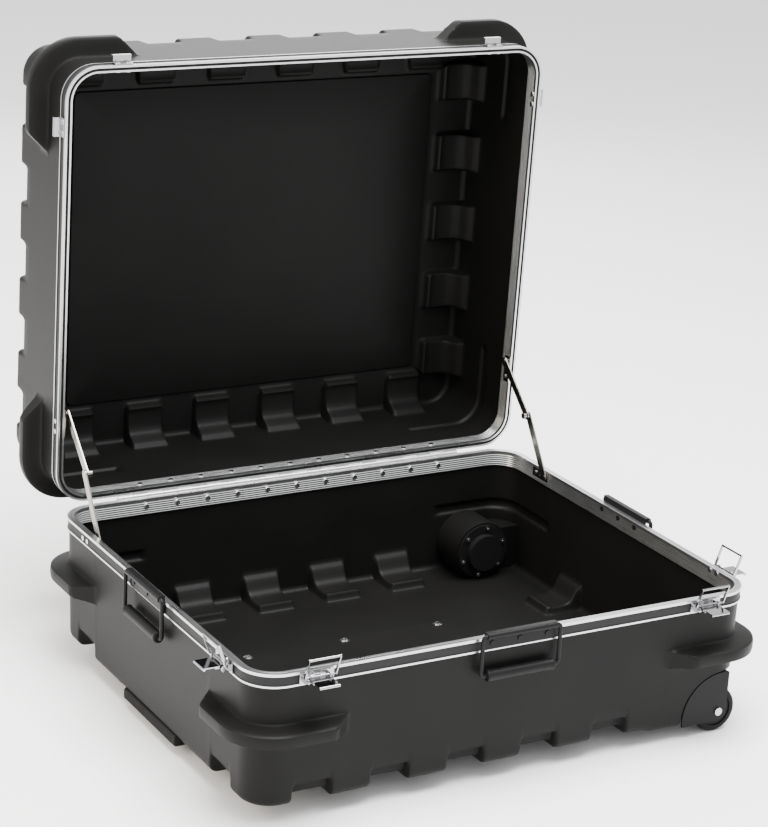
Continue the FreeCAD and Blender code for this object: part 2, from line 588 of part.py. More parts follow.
node("hinge_base_leaf", hinge_leaf("base_leaf", 1, 0, base_hinge_holes))
node("hinge_lid_leaf", hinge_leaf("lid_leaf", -1, 1, lid_hinge_holes), LID_OPEN)
node("hinge_pin", rod("hinge_wire", "x", ("-sizes.hinge_length / 2 - 1", HINGE_Y, HINGE_Z),
                      "sizes.hinge_length + 2", "sizes.pin_radius"))


# ---------------------------------------------------------------- carrying handles, built in a wall frame

half_plate = "sizes.plate_width / 2"
barrel_place = ("-sizes.barrel_out", "sizes.barrel_up")
handle_plate = cut("handle_plate", fuse("handle_plate_blank", [
    box("handle_back", (f"-{half_plate}", "-sizes.plate_thickness", "-sizes.plate_bottom"),
        (half_plate, "-0.1", "sizes.plate_top")),
    box("handle_roll", (f"-{half_plate}", "-sizes.barrel_out", "sizes.barrel_up"),
        (half_plate, "-0.1", "sizes.barrel_up + sizes.barrel_radius")),
    rod("handle_barrel", "x", (f"-{half_plate}",) + barrel_place, "sizes.plate_width", "sizes.barrel_radius")]),
    [rod("handle_bore", "x", (f"-{half_plate} - 5",) + barrel_place, "sizes.plate_width + 10",
         "sizes.wire_radius + sizes.wire_clearance")]
    + [rivet_hole(f"plate_hole_{n}", x, z) for n, (x, z) in enumerate(handle_rivet_places)])


def bend(name, sign, centre_z, quarter):
    """A quarter bend of the bail's wire, in the plane of the bail."""
    torus = doc.addObject("Part::Torus", name)
    bind(torus, x=f"{sign} * (sizes.bail_half - sizes.bail_bend)", y="-sizes.barrel_out", z=centre_z,
         Radius1="sizes.bail_bend", Radius2="sizes.wire_radius", Angle3="90")
    torus.Placement.Rotation = FreeCAD.Rotation(FreeCAD.Vector(1, 0, 0), 90) * FreeCAD.Rotation(
        FreeCAD.Vector(0, 0, 1), quarter)
    return torus


top_z = "(sizes.barrel_up - sizes.bail_bend)"
low_z = "(sizes.barrel_up - sizes.bail_drop + sizes.bail_bend)"
bail_parts = [rod("bail_foot", "x", ("-sizes.bail_half + sizes.bail_bend", "-sizes.barrel_out",
                                     "sizes.barrel_up - sizes.bail_drop"),
                  "2 * (sizes.bail_half - sizes.bail_bend)", "sizes.wire_radius"),
              rod("bail_axis", "x", ("-sizes.bail_half + sizes.bail_bend",) + barrel_place,
                  "2 * (sizes.bail_half - sizes.bail_bend)", "sizes.wire_radius")]
for sign, side in SIGNS:
    bail_parts.append(rod(f"bail_arm_{side}", "z", (f"{sign} * sizes.bail_half", "-sizes.barrel_out", low_z),
                          f"{top_z} - {low_z}", "sizes.wire_radius"))
    bail_parts.append(bend(f"bail_top_{side}", sign, top_z, 0 if sign > 0 else 90))
    bail_parts.append(bend(f"bail_low_{side}", sign, low_z, 270 if sign > 0 else 180))
bail = fuse("bail", bail_parts)
half_grip = "sizes.grip_length / 2"
grip_blank = rod("grip_sleeve", "x", (f"-{half_grip}", "-sizes.barrel_out", "sizes.barrel_up - sizes.bail_drop"),
                 "sizes.grip_length", "sizes.grip_radius")
doc.recompute()
grip_round = doc.addObject("Part::Fillet", "grip_rounded")
grip_round.Base = grip_blank
grip_round.Edges = [(n, 3.5, 3.5) for n, e in enumerate(grip_blank.Shape.Edges, 1)
                    if isinstance(e.Curve, Part.Circle)]
grip = cut("grip", grip_round, [rod("grip_bore", "x", (
    f"-{half_grip} - 5", "-sizes.barrel_out", "sizes.barrel_up - sizes.bail_drop"),
    "sizes.grip_length + 10", "sizes.wire_radius")])
for side, wall_frame in HANDLE_WALLS.items():
    node(f"{side}_handle_plate", handle_plate, wall_frame)
    node(f"{side}_handle_bail", bail, wall_frame)
    node(f"{side}_handle_grip", grip, wall_frame)


# ---------------------------------------------------------------- draw latches, built in a wall frame

LEVER_AXIS = ("-sizes.lever_out", "-sizes.lever_down")
HASP_AXIS = ("(-sizes.lever_out - sizes.horn * cos(sizes.horn_angle))",
             "(-sizes.lever_down + sizes.horn * sin(sizes.horn_angle))")
latch_parts = [box("latch_back", ("-sizes.latch_half", "-sizes.latch_plate", "-sizes.latch_low"),
                   ("sizes.latch_half", "-0.1", "-sizes.latch_high"))]
for sign, side in SIGNS:
    x = ("sizes.ear_gap", "sizes.ear_gap + sizes.ear_thickness")
    near, far = x if sign > 0 else (f"-({x[1]})", f"-({x[0]})")
    latch_parts.append(box(f"latch_ear_{side}", (near, LEVER_AXIS[0], f"{LEVER_AXIS[1]} - sizes.ear_radius"),
                           (far, "-0.5", f"{LEVER_AXIS[1]} + sizes.ear_radius")))
    latch_parts.append(rod(f"latch_boss_{side}", "x", (near,) + LEVER_AXIS, "sizes.ear_thickness",
                           "sizes.ear_radius"))
latch_plate = cut("latch_plate_bored", fuse("latch_plate_blank", latch_parts), [
    rod("latch_bore", "x", ("-30",) + LEVER_AXIS, "60", "sizes.latch_pin")]
    + [rivet_hole(f"latch_hole_{n}", x, z) for n, (x, z) in enumerate(latch_rivet_places)])
latch_pin = rod("latch_pin_wire", "x", ("-sizes.ear_gap - 2.5",) + LEVER_AXIS,
                "2 * sizes.ear_gap + 5", "sizes.latch_pin")

lever_parts = [
    rod("lever_hub", "x", ("-sizes.lever_half",) + LEVER_AXIS, "2 * sizes.lever_half", "sizes.lever_hub"),
    box("lever_blade", ("-sizes.lever_half", f"{LEVER_AXIS[0]} - sizes.lever_length",
                        f"{LEVER_AXIS[1]} + sizes.lever_hub - sizes.lever_sheet"),
        ("sizes.lever_half", LEVER_AXIS[0], f"{LEVER_AXIS[1]} + sizes.lever_hub")),
    rod("lever_curl", "x", ("-sizes.lever_half", f"{LEVER_AXIS[0]} - sizes.lever_length",
                            f"{LEVER_AXIS[1]} + sizes.lever_hub - 2"), "2 * sizes.lever_half", "2"),
]
for sign, side in SIGNS:
    x = ("sizes.lever_half - sizes.lever_sheet", "sizes.lever_half")
    near, far = x if sign > 0 else (f"-({x[1]})", f"-({x[0]})")
    lever_parts.append(box(f"lever_cheek_{side}", (near, f"{LEVER_AXIS[0]} - 12", LEVER_AXIS[1]),
                           (far, LEVER_AXIS[0], f"{LEVER_AXIS[1]} + sizes.lever_hub")))
    lever_parts.append(rod(f"lever_horn_{side}", "x", (near,) + HASP_AXIS, "sizes.lever_sheet", "2.8"))
    lever_parts.append(box(f"lever_neck_{side}", (near, f"{HASP_AXIS[0]} - 2.4", LEVER_AXIS[1]),
                           (far, f"{HASP_AXIS[0]} + 2.4", HASP_AXIS[1])))
lever = cut("lever", fuse("lever_blank", lever_parts), [
    rod("lever_bore", "x", ("-30",) + LEVER_AXIS, "60", "sizes.latch_pin + 0.08"),
    rod("lever_hasp_bore", "x", ("-30",) + HASP_AXIS, "60", "1.4 + 0.08")])

# the hasp is built upright over its own pin and then leans outwards
hasp_outer = "(sizes.hasp_half + sizes.hasp_sheet)"
hasp_parts = [
    rod("hasp_pin", "x", (f"-{hasp_outer}", "0", "0"), f"2 * {hasp_outer}", "1.4"),
    rod("hasp_top", "x", (f"-{hasp_outer}", "0", "sizes.hasp_length"), f"2 * {hasp_outer}", "1.6"),
]
for sign, side in SIGNS:
    x = ("sizes.hasp_half", hasp_outer)
    near, far = x if sign > 0 else (f"-({x[1]})", f"-({x[0]})")
    hasp_parts.append(box(f"hasp_side_{side}", (near, "-sizes.hasp_bar / 2", "0"),
                          (far, "sizes.hasp_bar / 2", "sizes.hasp_length")))
    hasp_parts.append(rod(f"hasp_foot_{side}", "x", (near, "0", "0"), "sizes.hasp_sheet", "sizes.hasp_bar / 2"))
    hasp_parts.append(rod(f"hasp_head_{side}", "x", (near, "0", "sizes.hasp_length"), "sizes.hasp_sheet",
                          "sizes.hasp_bar / 2"))
hasp = fuse("hasp", hasp_parts)
hasp_lean = frame("0", HASP_AXIS[0], HASP_AXIS[1], axis=(1, 0, 0), angle="sizes.hasp_lean")

keeper = cut("keeper", fuse("keeper_blank", [
    box("keeper_back", ("-sizes.keeper_half", "-sizes.latch_plate", "sizes.keeper_low"),
        ("sizes.keeper_half", "-0.1", "sizes.keeper_high")),
    box("keeper_shelf", ("-sizes.keeper_half", "-sizes.keeper_out", "sizes.keeper_high - 1.5"),
        ("sizes.keeper_half", "-0.5", "sizes.keeper_high")),
    box("keeper_lip_plate", ("-sizes.keeper_half", "-sizes.keeper_out", "sizes.keeper_high - 1.5"),
        ("sizes.keeper_half", "-sizes.keeper_out + 1.5", "sizes.keeper_high + sizes.keeper_lip"))]),
    [rivet_hole(f"keeper_hole_{n}", x, z) for n, (x, z) in enumerate(keeper_rivet_places)])

for side, wall_frame in LATCH_WALLS.items():
    node(f"{side}_latch_plate", latch_plate, wall_frame)
    node(f"{side}_latch_lever", lever, wall_frame)
    node(f"{side}_latch_hasp", hasp, wall_frame, hasp_lean)
node("latch_pins", group("latch_pin_set", [
    copy_at(f"latch_pin_{side}", latch_pin, wall_frame) for side, wall_frame in LATCH_WALLS.items()]))
node("latch_keepers", group("keeper_set", [
    copy_at(f"keeper_{side}", keeper, wall_frame) for side, wall_frame in LATCH_WALLS.items()]), LID_OPEN)


# ---------------------------------------------------------------- wheels, their housings and cups

AXLE_Z = "sizes.wheel_radius"


def cover_outline(name, sign, depth, length):
    """The wheel cover's shape: a quarter round with a small round corner about the axle."""
    bottom = f"({AXLE_Z} - sizes.cover_corner)"
    top, left = "(sizes.well_z + sizes.well_radius + 1)", "(sizes.well_x - sizes.well_radius - 1)"
    blocks = [
        slab_across(f"{name}_left", sign, depth, length, (left, bottom), ("sizes.wheel_x", top)),
        slab_across(f"{name}_top", sign, depth, length, (left, AXLE_Z), ("sizes.cover_right", top)),
        across(f"{name}_corner", sign, depth, length, "sizes.wheel_x", AXLE_Z, "sizes.cover_corner"),
    ]
    disc = across(f"{name}_disc", sign, depth, length, "sizes.well_x", "sizes.well_z", "sizes.well_radius")
    return common(name, [disc, fuse(f"{name}_blocks", blocks)])


fork_depth = "(sizes.well_depth - sizes.fork_thickness - 0.3)"
drum_length = f"(sizes.drum_depth - 0.3 - {fork_depth})"
wheel_screws = []
cups = []
axles = []
for sign, side in ((-1, "front"), (1, "rear")):
    cover = cover_outline(f"{side}_cover", sign, "sizes.cover_in", "sizes.cover_thickness")
    fork = cover_outline(f"{side}_fork", sign, fork_depth, "sizes.fork_thickness")
    roof_start = "sizes.cover_in + 1"
    roof_length = f"{fork_depth} - sizes.cover_in"
    roof = cut(f"{side}_roof", cover_outline(f"{side}_roof_blank", sign, roof_start, roof_length), [
        across(f"{side}_roof_hollow", sign, "sizes.cover_in", f"{fork_depth}", "sizes.well_x", "sizes.well_z",
               "sizes.well_radius - 3"),
        slab_across(f"{side}_roof_foot", sign, "sizes.cover_in", f"{fork_depth}", ("200", "0"),
                    ("420", f"{AXLE_Z}")),
    ])
    drum = cut(f"{side}_drum_cut", across(f"{side}_drum_wall", sign, fork_depth, drum_length, "sizes.cup_x",
                                          "sizes.cup_z", "sizes.drum_radius - 1"), [
        across(f"{side}_drum_hollow", sign, f"{fork_depth} - 1", f"{drum_length} - 2", "sizes.cup_x",
               "sizes.cup_z", "sizes.drum_radius - 4"),
        slab_across(f"{side}_drum_foot", sign, "0", "100", ("200", "0"), ("420", f"{FOOT} + 5"))])
    axle_hole = across(f"{side}_axle_hole", sign, "-5", "sizes.well_depth + 5", "sizes.wheel_x", AXLE_Z,
                       "sizes.axle_radius")
    bores = [across(f"{side}_fork_hole_{n}", sign, f"{fork_depth} + 4", "60", x, z, "1.8")
             for n, (x, z) in enumerate(cup_screw_places)]
    node(f"{side}_wheel_housing", cut(f"{side}_housing", fuse(f"{side}_housing_blank", [cover, fork, roof, drum]),
                                      [axle_hole] + bores))
    tread_start = "sizes.wheel_in - sizes.wheel_width / 2"
    core = cut(f"{side}_core", fuse(f"{side}_core_blank", [
        across(f"{side}_core_rim", sign, f"{tread_start} + 2", "sizes.wheel_width - 4", "sizes.wheel_x", AXLE_Z,
               "sizes.rim_radius"),
        across(f"{side}_core_hub", sign, f"{tread_start} + 0.4", "sizes.wheel_width + 2.4", "sizes.wheel_x",
               AXLE_Z, "9")]),
        [across(f"{side}_core_bore", sign, "0", "60", "sizes.wheel_x", AXLE_Z,
                "sizes.axle_radius + sizes.axle_clearance")])
    node(f"{side}_wheel_core", core)
    tread_blank = across(f"{side}_tread_blank", sign, tread_start, "sizes.wheel_width", "sizes.wheel_x", AXLE_Z,
                         "sizes.wheel_radius")
    doc.recompute()
    tread = doc.addObject("Part::Fillet", f"{side}_tread")
    tread.Base = tread_blank
    tread.Edges = [(n, 6, 6) for n, e in enumerate(tread_blank.Shape.Edges, 1) if isinstance(e.Curve, Part.Circle)]
    node(f"{side}_wheel_tyre", cut(f"{side}_tyre", tread, [
        across(f"{side}_tyre_bore", sign, "0", "60", "sizes.wheel_x", AXLE_Z, "sizes.rim_radius")]))
    axles.append(fuse(f"{side}_axle", [
        across(f"{side}_axle_rod", sign, "sizes.cover_in - 1", "sizes.well_depth - sizes.cover_in",
               "sizes.wheel_x", AXLE_Z, "sizes.axle_radius"),
        across(f"{side}_axle_head", sign, "sizes.cover_in - 2.6", "2.5", "sizes.wheel_x", AXLE_Z, "6")]))
    cup_face = "sizes.drum_depth + sizes.shell_wall + 0.1"
    cups.append(cut(f"{side}_cup", fuse(f"{side}_cup_blank", [
        across(f"{side}_cup_flange", sign, cup_face, "sizes.cup_flange_thickness", "sizes.cup_x", "sizes.cup_z",
               "sizes.cup_flange"),
        across(f"{side}_cup_drum", sign, cup_face, "sizes.cup_depth", "sizes.cup_x", "sizes.cup_z",
               "sizes.cup_drum")]),
        [across(f"{side}_cup_bore_{n}", sign, "60", "60", x, z, "1.8")
         for n, (x, z) in enumerate(cup_screw_places)]))
    for n, (x, z) in enumerate(cup_screw_places):
        label = f"{side}_cup_screw_{n}"
        wheel_screws.append(fuse(label, [
            across(label + "_shank", sign, "sizes.drum_depth - 3", "13", x, z, "1.7"),
            across(label + "_head", sign, f"{cup_face} + sizes.cup_flange_thickness", "2.2", x, z, "3.4")]))
node("wheel_axles", group("axle_set", axles))
node("wheel_cups", group("cup_set", cups))
node("wheel_cup_screws", group("cup_screw_set", wheel_screws))


# ---------------------------------------------------------------- pull handle under the floor

tray_low = f"({TRAY_TOP} - sizes.tray_height)"
tray = cut("tray_cut", fuse("tray_blank", [
    box("tray_block", ("sizes.tray_left", "-sizes.tray_half", tray_low),
        ("sizes.tray_right", "sizes.tray_half", f"{TRAY_TOP} - 0.1")),
    *[box(f"skid_{n}", ("sizes.skid_left", f"{n} * sizes.skid_y - sizes.skid_width / 2", "0"),
          ("sizes.skid_right", f"{n} * sizes.skid_y + sizes.skid_width / 2", f"{tray_low} + 1"))
      for n in (-1, 0, 1)]]),
    [box("tray_hollow", ("sizes.tray_left + sizes.collar_length", "-sizes.tray_half + 28",
                         f"{tray_low} + 2"),
         ("sizes.tray_right - sizes.tray_wall", "sizes.tray_half - 28", f"{TRAY_TOP} + 5"))]
    + [rod(f"tray_channel_{side}", "x", ("sizes.tray_left - 5", f"{sign} * sizes.tube_y", "sizes.tube_z"),
           "sizes.tube_right - sizes.tray_left + 12", "sizes.tube_radius + 0.6") for sign, side in SIGNS]
    + [rod(f"collar_seat_{side}", "x", ("sizes.tray_left - 5", f"{sign} * sizes.tube_y", "sizes.tube_z"),
           "sizes.collar_length + 5", "sizes.collar_radius") for sign, side in SIGNS]
    + [rod(f"tray_screw_hole_{n}", "z", (x, y, f"{tray_low} + 3"), "40", "sizes.rivet_radius")
       for n, (x, y) in enumerate(floor_screw_places)])
node("pull_handle_tray", tray)
collars = []
tubes = []
for sign, side in SIGNS:
    place = (f"{sign} * sizes.tube_y", "sizes.tube_z")
    collars.append(cut(f"collar_{side}", rod(f"collar_blank_{side}", "x", ("sizes.tray_left",) + place,
                                             "sizes.collar_length", "sizes.collar_radius"),
                       [rod(f"collar_bore_{side}", "x", ("sizes.tray_left - 5",) + place,
                            "sizes.collar_length + 10", "sizes.tube_radius + sizes.collar_clearance")]))
    tubes.append(cut(f"tube_{side}", rod(f"tube_blank_{side}", "x", ("sizes.pull_grip_right",) + place,
                                         "sizes.tube_right - sizes.pull_grip_right", "sizes.tube_radius"),
                     [rod(f"tube_bore_{side}", "x", ("sizes.pull_grip_right - 5",) + place,
                          "sizes.tube_right - sizes.pull_grip_right + 10", "sizes.tube_radius - 1.2")]))
node("pull_handle_collars", group("collar_set", collars))
node("pull_handle_tubes", group("tube_set", tubes))
pull_blank = box("pull_grip_block", ("sizes.pull_grip_left", "-sizes.pull_grip_half", "sizes.pull_grip_low"),
                 ("sizes.pull_grip_right", "sizes.pull_grip_half", "sizes.pull_grip_high"))
doc.recompute()
pull_grip = doc.addObject("Part::Fillet", "pull_grip_rounded")
pull_grip.Base = pull_blank
pull_grip.Edges = [(n, value("sizes.pull_grip_round"), value("sizes.pull_grip_round"))
                   for n, e in enumerate(pull_blank.Shape.Edges, 1) if e.BoundBox.XMax < value("sizes.pull_grip_left") + 0.1]
node("pull_handle_grip", pull_grip)
floor_screws = []
for n, (x, y) in enumerate(floor_screw_places):
    label = f"floor_screw_{n}"
    floor_screws.append(fuse(label, [
        rod(label + "_shank", "z", (x, y, f"{tray_low} + 4"), f"{TRAY_TOP} + sizes.shell_wall - {tray_low} - 4",
            "sizes.rivet_radius"),
        rod(label + "_washer", "z", (x, y, f"{TRAY_TOP} + sizes.shell_wall"), "1", "7"),
        rod(label + "_head", "z", (x, y, f"{TRAY_TOP} + sizes.shell_wall + 1"), "2.4", "4.2")]))
node("floor_screws", group("floor_screw_set", floor_screws))


# ---------------------------------------------------------------- folding lid stays

def meet(base, lid, arm):
    """Where two equal arms from the base and lid pivots meet, on the front side of the line between them."""
    gap_y, gap_z = lid[0] - base[0], lid[1] - base[1]
    gap = math.hypot(gap_y, gap_z)
    rise = math.sqrt(arm * arm - gap * gap / 4)
    return (base[0] + gap_y / 2 - gap_z / gap * rise, base[1] + gap_z / 2 + gap_y / gap * rise)


base_pivot = ("sizes.stay_base_y", f"({RIM} - sizes.stay_base_drop)")
lid_pivot_closed = ("sizes.stay_lid_y", f"({RIM} + sizes.stay_lid_rise)")
tilt = math.radians(value("sizes.open_angle"))
from_hinge = (value(f"{lid_pivot_closed[0]} - {HINGE_Y}"), value(f"{lid_pivot_closed[1]} - {HINGE_Z}"))
lid_pivot = (value(HINGE_Y) + from_hinge[0] * math.cos(tilt) + from_hinge[1] * math.sin(tilt),
             value(HINGE_Z) - from_hinge[0] * math.sin(tilt) + from_hinge[1] * math.cos(tilt))
elbow = meet([value(p) for p in base_pivot], lid_pivot, value("sizes.stay_arm"))


def angle_to(start, end):
    return math.degrees(math.atan2(end[1] - start[1], end[0] - start[0]))


def stay_arm(name, far_hole):
    """A flat arm along +Y from its pivot, with round ends and two holes."""
    half = "sizes.stay_width / 2"
    blank = fuse(name + "_blank", [
        box(name + "_bar", ("-sizes.stay_sheet / 2", "0", f"-{half}"),
            ("sizes.stay_sheet / 2", "sizes.stay_arm", half)),
        rod(name + "_near", "x", ("-sizes.stay_sheet / 2", "0", "0"), "sizes.stay_sheet", half),
        rod(name + "_far", "x", ("-sizes.stay_sheet / 2", "sizes.stay_arm", "0"), "sizes.stay_sheet", half)])
    return cut(name, blank, [
        rod(name + "_near_hole", "x", ("-5", "0", "0"), "10", "sizes.stay_pin + sizes.stay_clearance"),
        rod(name + "_far_hole", "x", ("-5", "sizes.stay_arm", "0"), "10", far_hole)])


lower_arm = stay_arm("lower_arm", "sizes.stay_pin")
upper_arm = stay_arm("upper_arm", "sizes.stay_pin + sizes.stay_open_clearance")
lower_angle = angle_to([value(p) for p in base_pivot], elbow)
upper_angle = angle_to(lid_pivot, elbow)


def bracket(name, sign, pivot, reach):
    """A stay bracket on the rim's inner leg, with the stud that its arm turns on."""
    inside = f"({HALF_LENGTH} - sizes.lip_width)"
    plate_x = (f"{inside} - sizes.stay_sheet", inside)
    stud_end = f"({HALF_LENGTH} - {reach} - sizes.stay_sheet / 2 - 0.8)"
    x = plate_x if sign > 0 else (f"-({plate_x[1]})", f"-({plate_x[0]})")
    stud_start = stud_end if sign > 0 else f"-({plate_x[0]})"
    head = stud_end if sign > 0 else f"-{stud_end} - 0.7"
    plate = box(name + "_plate", (x[0], f"{pivot[0]} - 8", f"{pivot[1]} - 8"),
                (x[1], f"{pivot[0]} + 36", f"{pivot[1]} + 7"))
    stud = rod(name + "_stud", "x", (stud_start,) + pivot, f"{plate_x[0]} - {stud_end}", "sizes.stay_pin")
    cap = rod(name + "_cap", "x", (head,) + pivot, "0.7", "4.2")
    return fuse(name, [plate, stud, cap])


base_brackets = []
lid_brackets = []
for sign, side in SIGNS:
    lower_x = f"{sign} * ({HALF_LENGTH} - sizes.stay_lower_in)"
    upper_x = f"{sign} * ({HALF_LENGTH} - sizes.stay_upper_in)"
    node(f"{side}_stay_lower_arm", lower_arm,
         frame(lower_x, base_pivot[0], base_pivot[1], axis=(1, 0, 0), angle=lower_angle))
    node(f"{side}_stay_upper_arm", upper_arm,
         frame(upper_x, lid_pivot[0], lid_pivot[1], axis=(1, 0, 0), angle=upper_angle))
    inner = f"({HALF_LENGTH} - sizes.stay_upper_in - sizes.stay_sheet / 2 - 1)"
    outer = f"({HALF_LENGTH} - sizes.stay_lower_in + sizes.stay_sheet / 2)"
    start = inner if sign > 0 else f"-{outer}"
    knob = f"{inner} - 5" if sign > 0 else f"-{inner}"
    node(f"{side}_stay_knob", fuse(f"{side}_elbow", [
        rod(f"{side}_elbow_pin", "x", (start, elbow[0], elbow[1]), f"{outer} - {inner}", "sizes.stay_pin"),
        rod(f"{side}_elbow_knob", "x", (knob, elbow[0], elbow[1]), "5", "5")]))
    base_brackets.append(cut(f"{side}_base_bracket", bracket(
        f"{side}_base_bracket_blank", sign, base_pivot, "sizes.stay_lower_in"), [base_holes]))
    lid_brackets.append(cut(f"{side}_lid_bracket", bracket(
        f"{side}_lid_bracket_blank", sign, lid_pivot_closed, "sizes.stay_upper_in"), [lid_holes]))
node("stay_base_brackets", group("base_bracket_set", base_brackets))
node("stay_lid_brackets", group("lid_bracket_set", lid_brackets), LID_OPEN)


# ---------------------------------------------------------------- checks and export

doc.recompute()
for thing in doc.Objects:
    if {"Invalid", "Error"} & set(thing.State):
        raise RuntimeError(f"{thing.Name} failed: {thing.State}")
os.makedirs("parts", exist_ok=True)
for name, thing in nodes.items():
    shape = thing.Shape
    if shape.isNull() or not shape.isValid() or not shape.Solids:
        raise RuntimeError(f"{name} has no valid solid")
    shape.exportStep(f"parts/{name}.step")
    box_of = shape.BoundBox
    print(f"{name:26s} solids {len(shape.Solids):3d} volume {shape.Volume / 1000:9.2f} cm3",
          [round(v, 1) for v in (box_of.XMin, box_of.YMin, box_of.ZMin, box_of.XMax, box_of.YMax, box_of.ZMax)])
print(len(nodes), "nodes")
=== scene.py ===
import json
from math import cos, pi, radians, sin, tan

import bmesh
import bpy
import numpy as np
from mathutils import Matrix, Vector


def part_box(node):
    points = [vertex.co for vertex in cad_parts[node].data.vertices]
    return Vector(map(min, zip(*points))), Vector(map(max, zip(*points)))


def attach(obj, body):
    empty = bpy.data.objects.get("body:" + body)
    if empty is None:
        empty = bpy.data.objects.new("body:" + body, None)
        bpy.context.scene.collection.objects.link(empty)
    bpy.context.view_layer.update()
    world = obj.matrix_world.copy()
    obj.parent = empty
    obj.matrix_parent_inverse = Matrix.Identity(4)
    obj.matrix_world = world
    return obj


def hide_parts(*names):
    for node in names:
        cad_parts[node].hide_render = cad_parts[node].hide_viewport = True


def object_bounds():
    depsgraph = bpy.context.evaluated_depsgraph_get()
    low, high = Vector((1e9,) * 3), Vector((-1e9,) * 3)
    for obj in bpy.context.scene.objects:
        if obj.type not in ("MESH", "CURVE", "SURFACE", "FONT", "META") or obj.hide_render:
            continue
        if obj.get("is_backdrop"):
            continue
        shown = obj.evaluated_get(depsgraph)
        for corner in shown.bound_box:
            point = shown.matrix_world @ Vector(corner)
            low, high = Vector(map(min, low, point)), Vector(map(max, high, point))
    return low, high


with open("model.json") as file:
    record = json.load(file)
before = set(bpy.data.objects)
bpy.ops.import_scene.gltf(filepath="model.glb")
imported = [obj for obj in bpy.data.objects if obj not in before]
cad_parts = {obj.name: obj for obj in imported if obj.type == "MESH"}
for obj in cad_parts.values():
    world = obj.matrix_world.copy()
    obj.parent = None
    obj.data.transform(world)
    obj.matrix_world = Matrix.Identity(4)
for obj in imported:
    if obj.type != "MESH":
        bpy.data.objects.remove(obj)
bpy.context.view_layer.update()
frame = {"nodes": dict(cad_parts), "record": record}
nodes = frame["nodes"]
joints = {joint["name"]: joint for joint in frame["record"]["behaviour"]["joints"]}

# ---------------------------------------------------------------- camera, floor and light
# A long lens looks down on the front left corner of the open case, very slightly rolled. The
# floor is plain white. A broad warm lamp stands at the left and a weak one behind, under soft light.
case_centre = Vector((-0.39535, -0.61463, 0.66695))
view_azimuth, view_elevation, view_roll, view_distance = -30.25, 18.28, 3.08, 2.80336
camera_data = bpy.data.cameras.new("camera")
camera_data.lens = 108.1
camera_data.clip_end = 50
camera = bpy.data.objects.new("camera", camera_data)
bpy.context.collection.objects.link(camera)
azimuth, elevation, roll = radians(view_azimuth), radians(view_elevation), radians(view_roll)
backwards = Vector((sin(azimuth) * cos(elevation), -cos(azimuth) * cos(elevation), sin(elevation)))
level = (-backwards).cross(Vector((0, 0, 1))).normalized()
upright = level.cross(-backwards)
rightwards = level * cos(roll) + upright * sin(roll)
upwards = upright * cos(roll) - level * sin(roll)
camera.matrix_world = Matrix.Translation(case_centre + backwards * view_distance) @ Matrix(
    (rightwards, upwards, backwards)).transposed().to_4x4()
bpy.context.scene.camera = camera


def shader(name, base=(0.5, 0.5, 0.5), **sockets):
    """A material whose Principled shader has these sockets set, with its node tree and shader."""
    material = bpy.data.materials.new(name)
    material.use_nodes = True
    principled = material.node_tree.nodes["Principled BSDF"]
    principled.inputs["Base Color"].default_value = (*base, 1)
    for socket, number in sockets.items():
        principled.inputs[socket.replace("_", " ")].default_value = number
    return material, material.node_tree, principled


def add(tree, kind, inputs=None, **settings):
    """A node with its settings; inputs maps a socket to a number or to another node's output."""
    made = tree.nodes.new("ShaderNode" + kind)
    for setting, choice in settings.items():
        setattr(made, setting, choice)
    for socket, source in (inputs or {}).items():
        if isinstance(source, bpy.types.NodeSocket):
            tree.links.new(source, made.inputs[socket])
        else:
            made.inputs[socket].default_value = source
    return made


floor_mesh = bpy.data.meshes.new("floor")
floor_reach, floor_drop = 12.0, 0.0004
floor_mesh.from_pydata([(x * floor_reach, y * floor_reach, -floor_drop)
                        for x, y in ((-1, -1), (1, -1), (1, 1), (-1, 1))], [], [(0, 1, 2, 3)])
floor = bpy.data.objects.new("floor", floor_mesh)
bpy.context.collection.objects.link(floor)
floor_white, _, _ = shader("floor_white", (0.93, 0.93, 0.93), Roughness=0.9)
floor_mesh.materials.append(floor_white)
floor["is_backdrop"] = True

sky = bpy.data.worlds.new("soft_room")
bpy.context.scene.world = sky
sky.use_nodes = True
sky.node_tree.nodes["Background"].inputs["Color"].default_value = (1, 1, 1, 1)
sky.node_tree.nodes["Background"].inputs["Strength"].default_value = 1.5


def softbox(name, place, aim, width, height, power, colour=(1, 1, 1)):
    """An area lamp at a place, turned towards a point."""
    lamp_data = bpy.data.lights.new(name, "AREA")
    lamp_data.shape = "RECTANGLE"
    lamp_data.size, lamp_data.size_y = width, height
    lamp_data.energy = power
    lamp_data.color = colour
    lamp = bpy.data.objects.new(name, lamp_data)
    bpy.context.collection.objects.link(lamp)
    lamp.location = place
    lamp.rotation_euler = (Vector(aim) - Vector(place)).to_track_quat("-Z", "Y").to_euler()


softbox("left_lamp", (-3.2, 0.3, 1.5), (-0.2, 0, 0.3), 2.6, 2.2, 112, (1.0, 0.87, 0.72))
softbox("roof_lamp", (0.2, -0.4, 3.4), (0, 0.1, 0.2), 3.0, 2.4, 480)
softbox("back_lamp", (1.2, 3.4, 1.8), (0, 0.2, 0.3), 2.4, 1.6, 50)


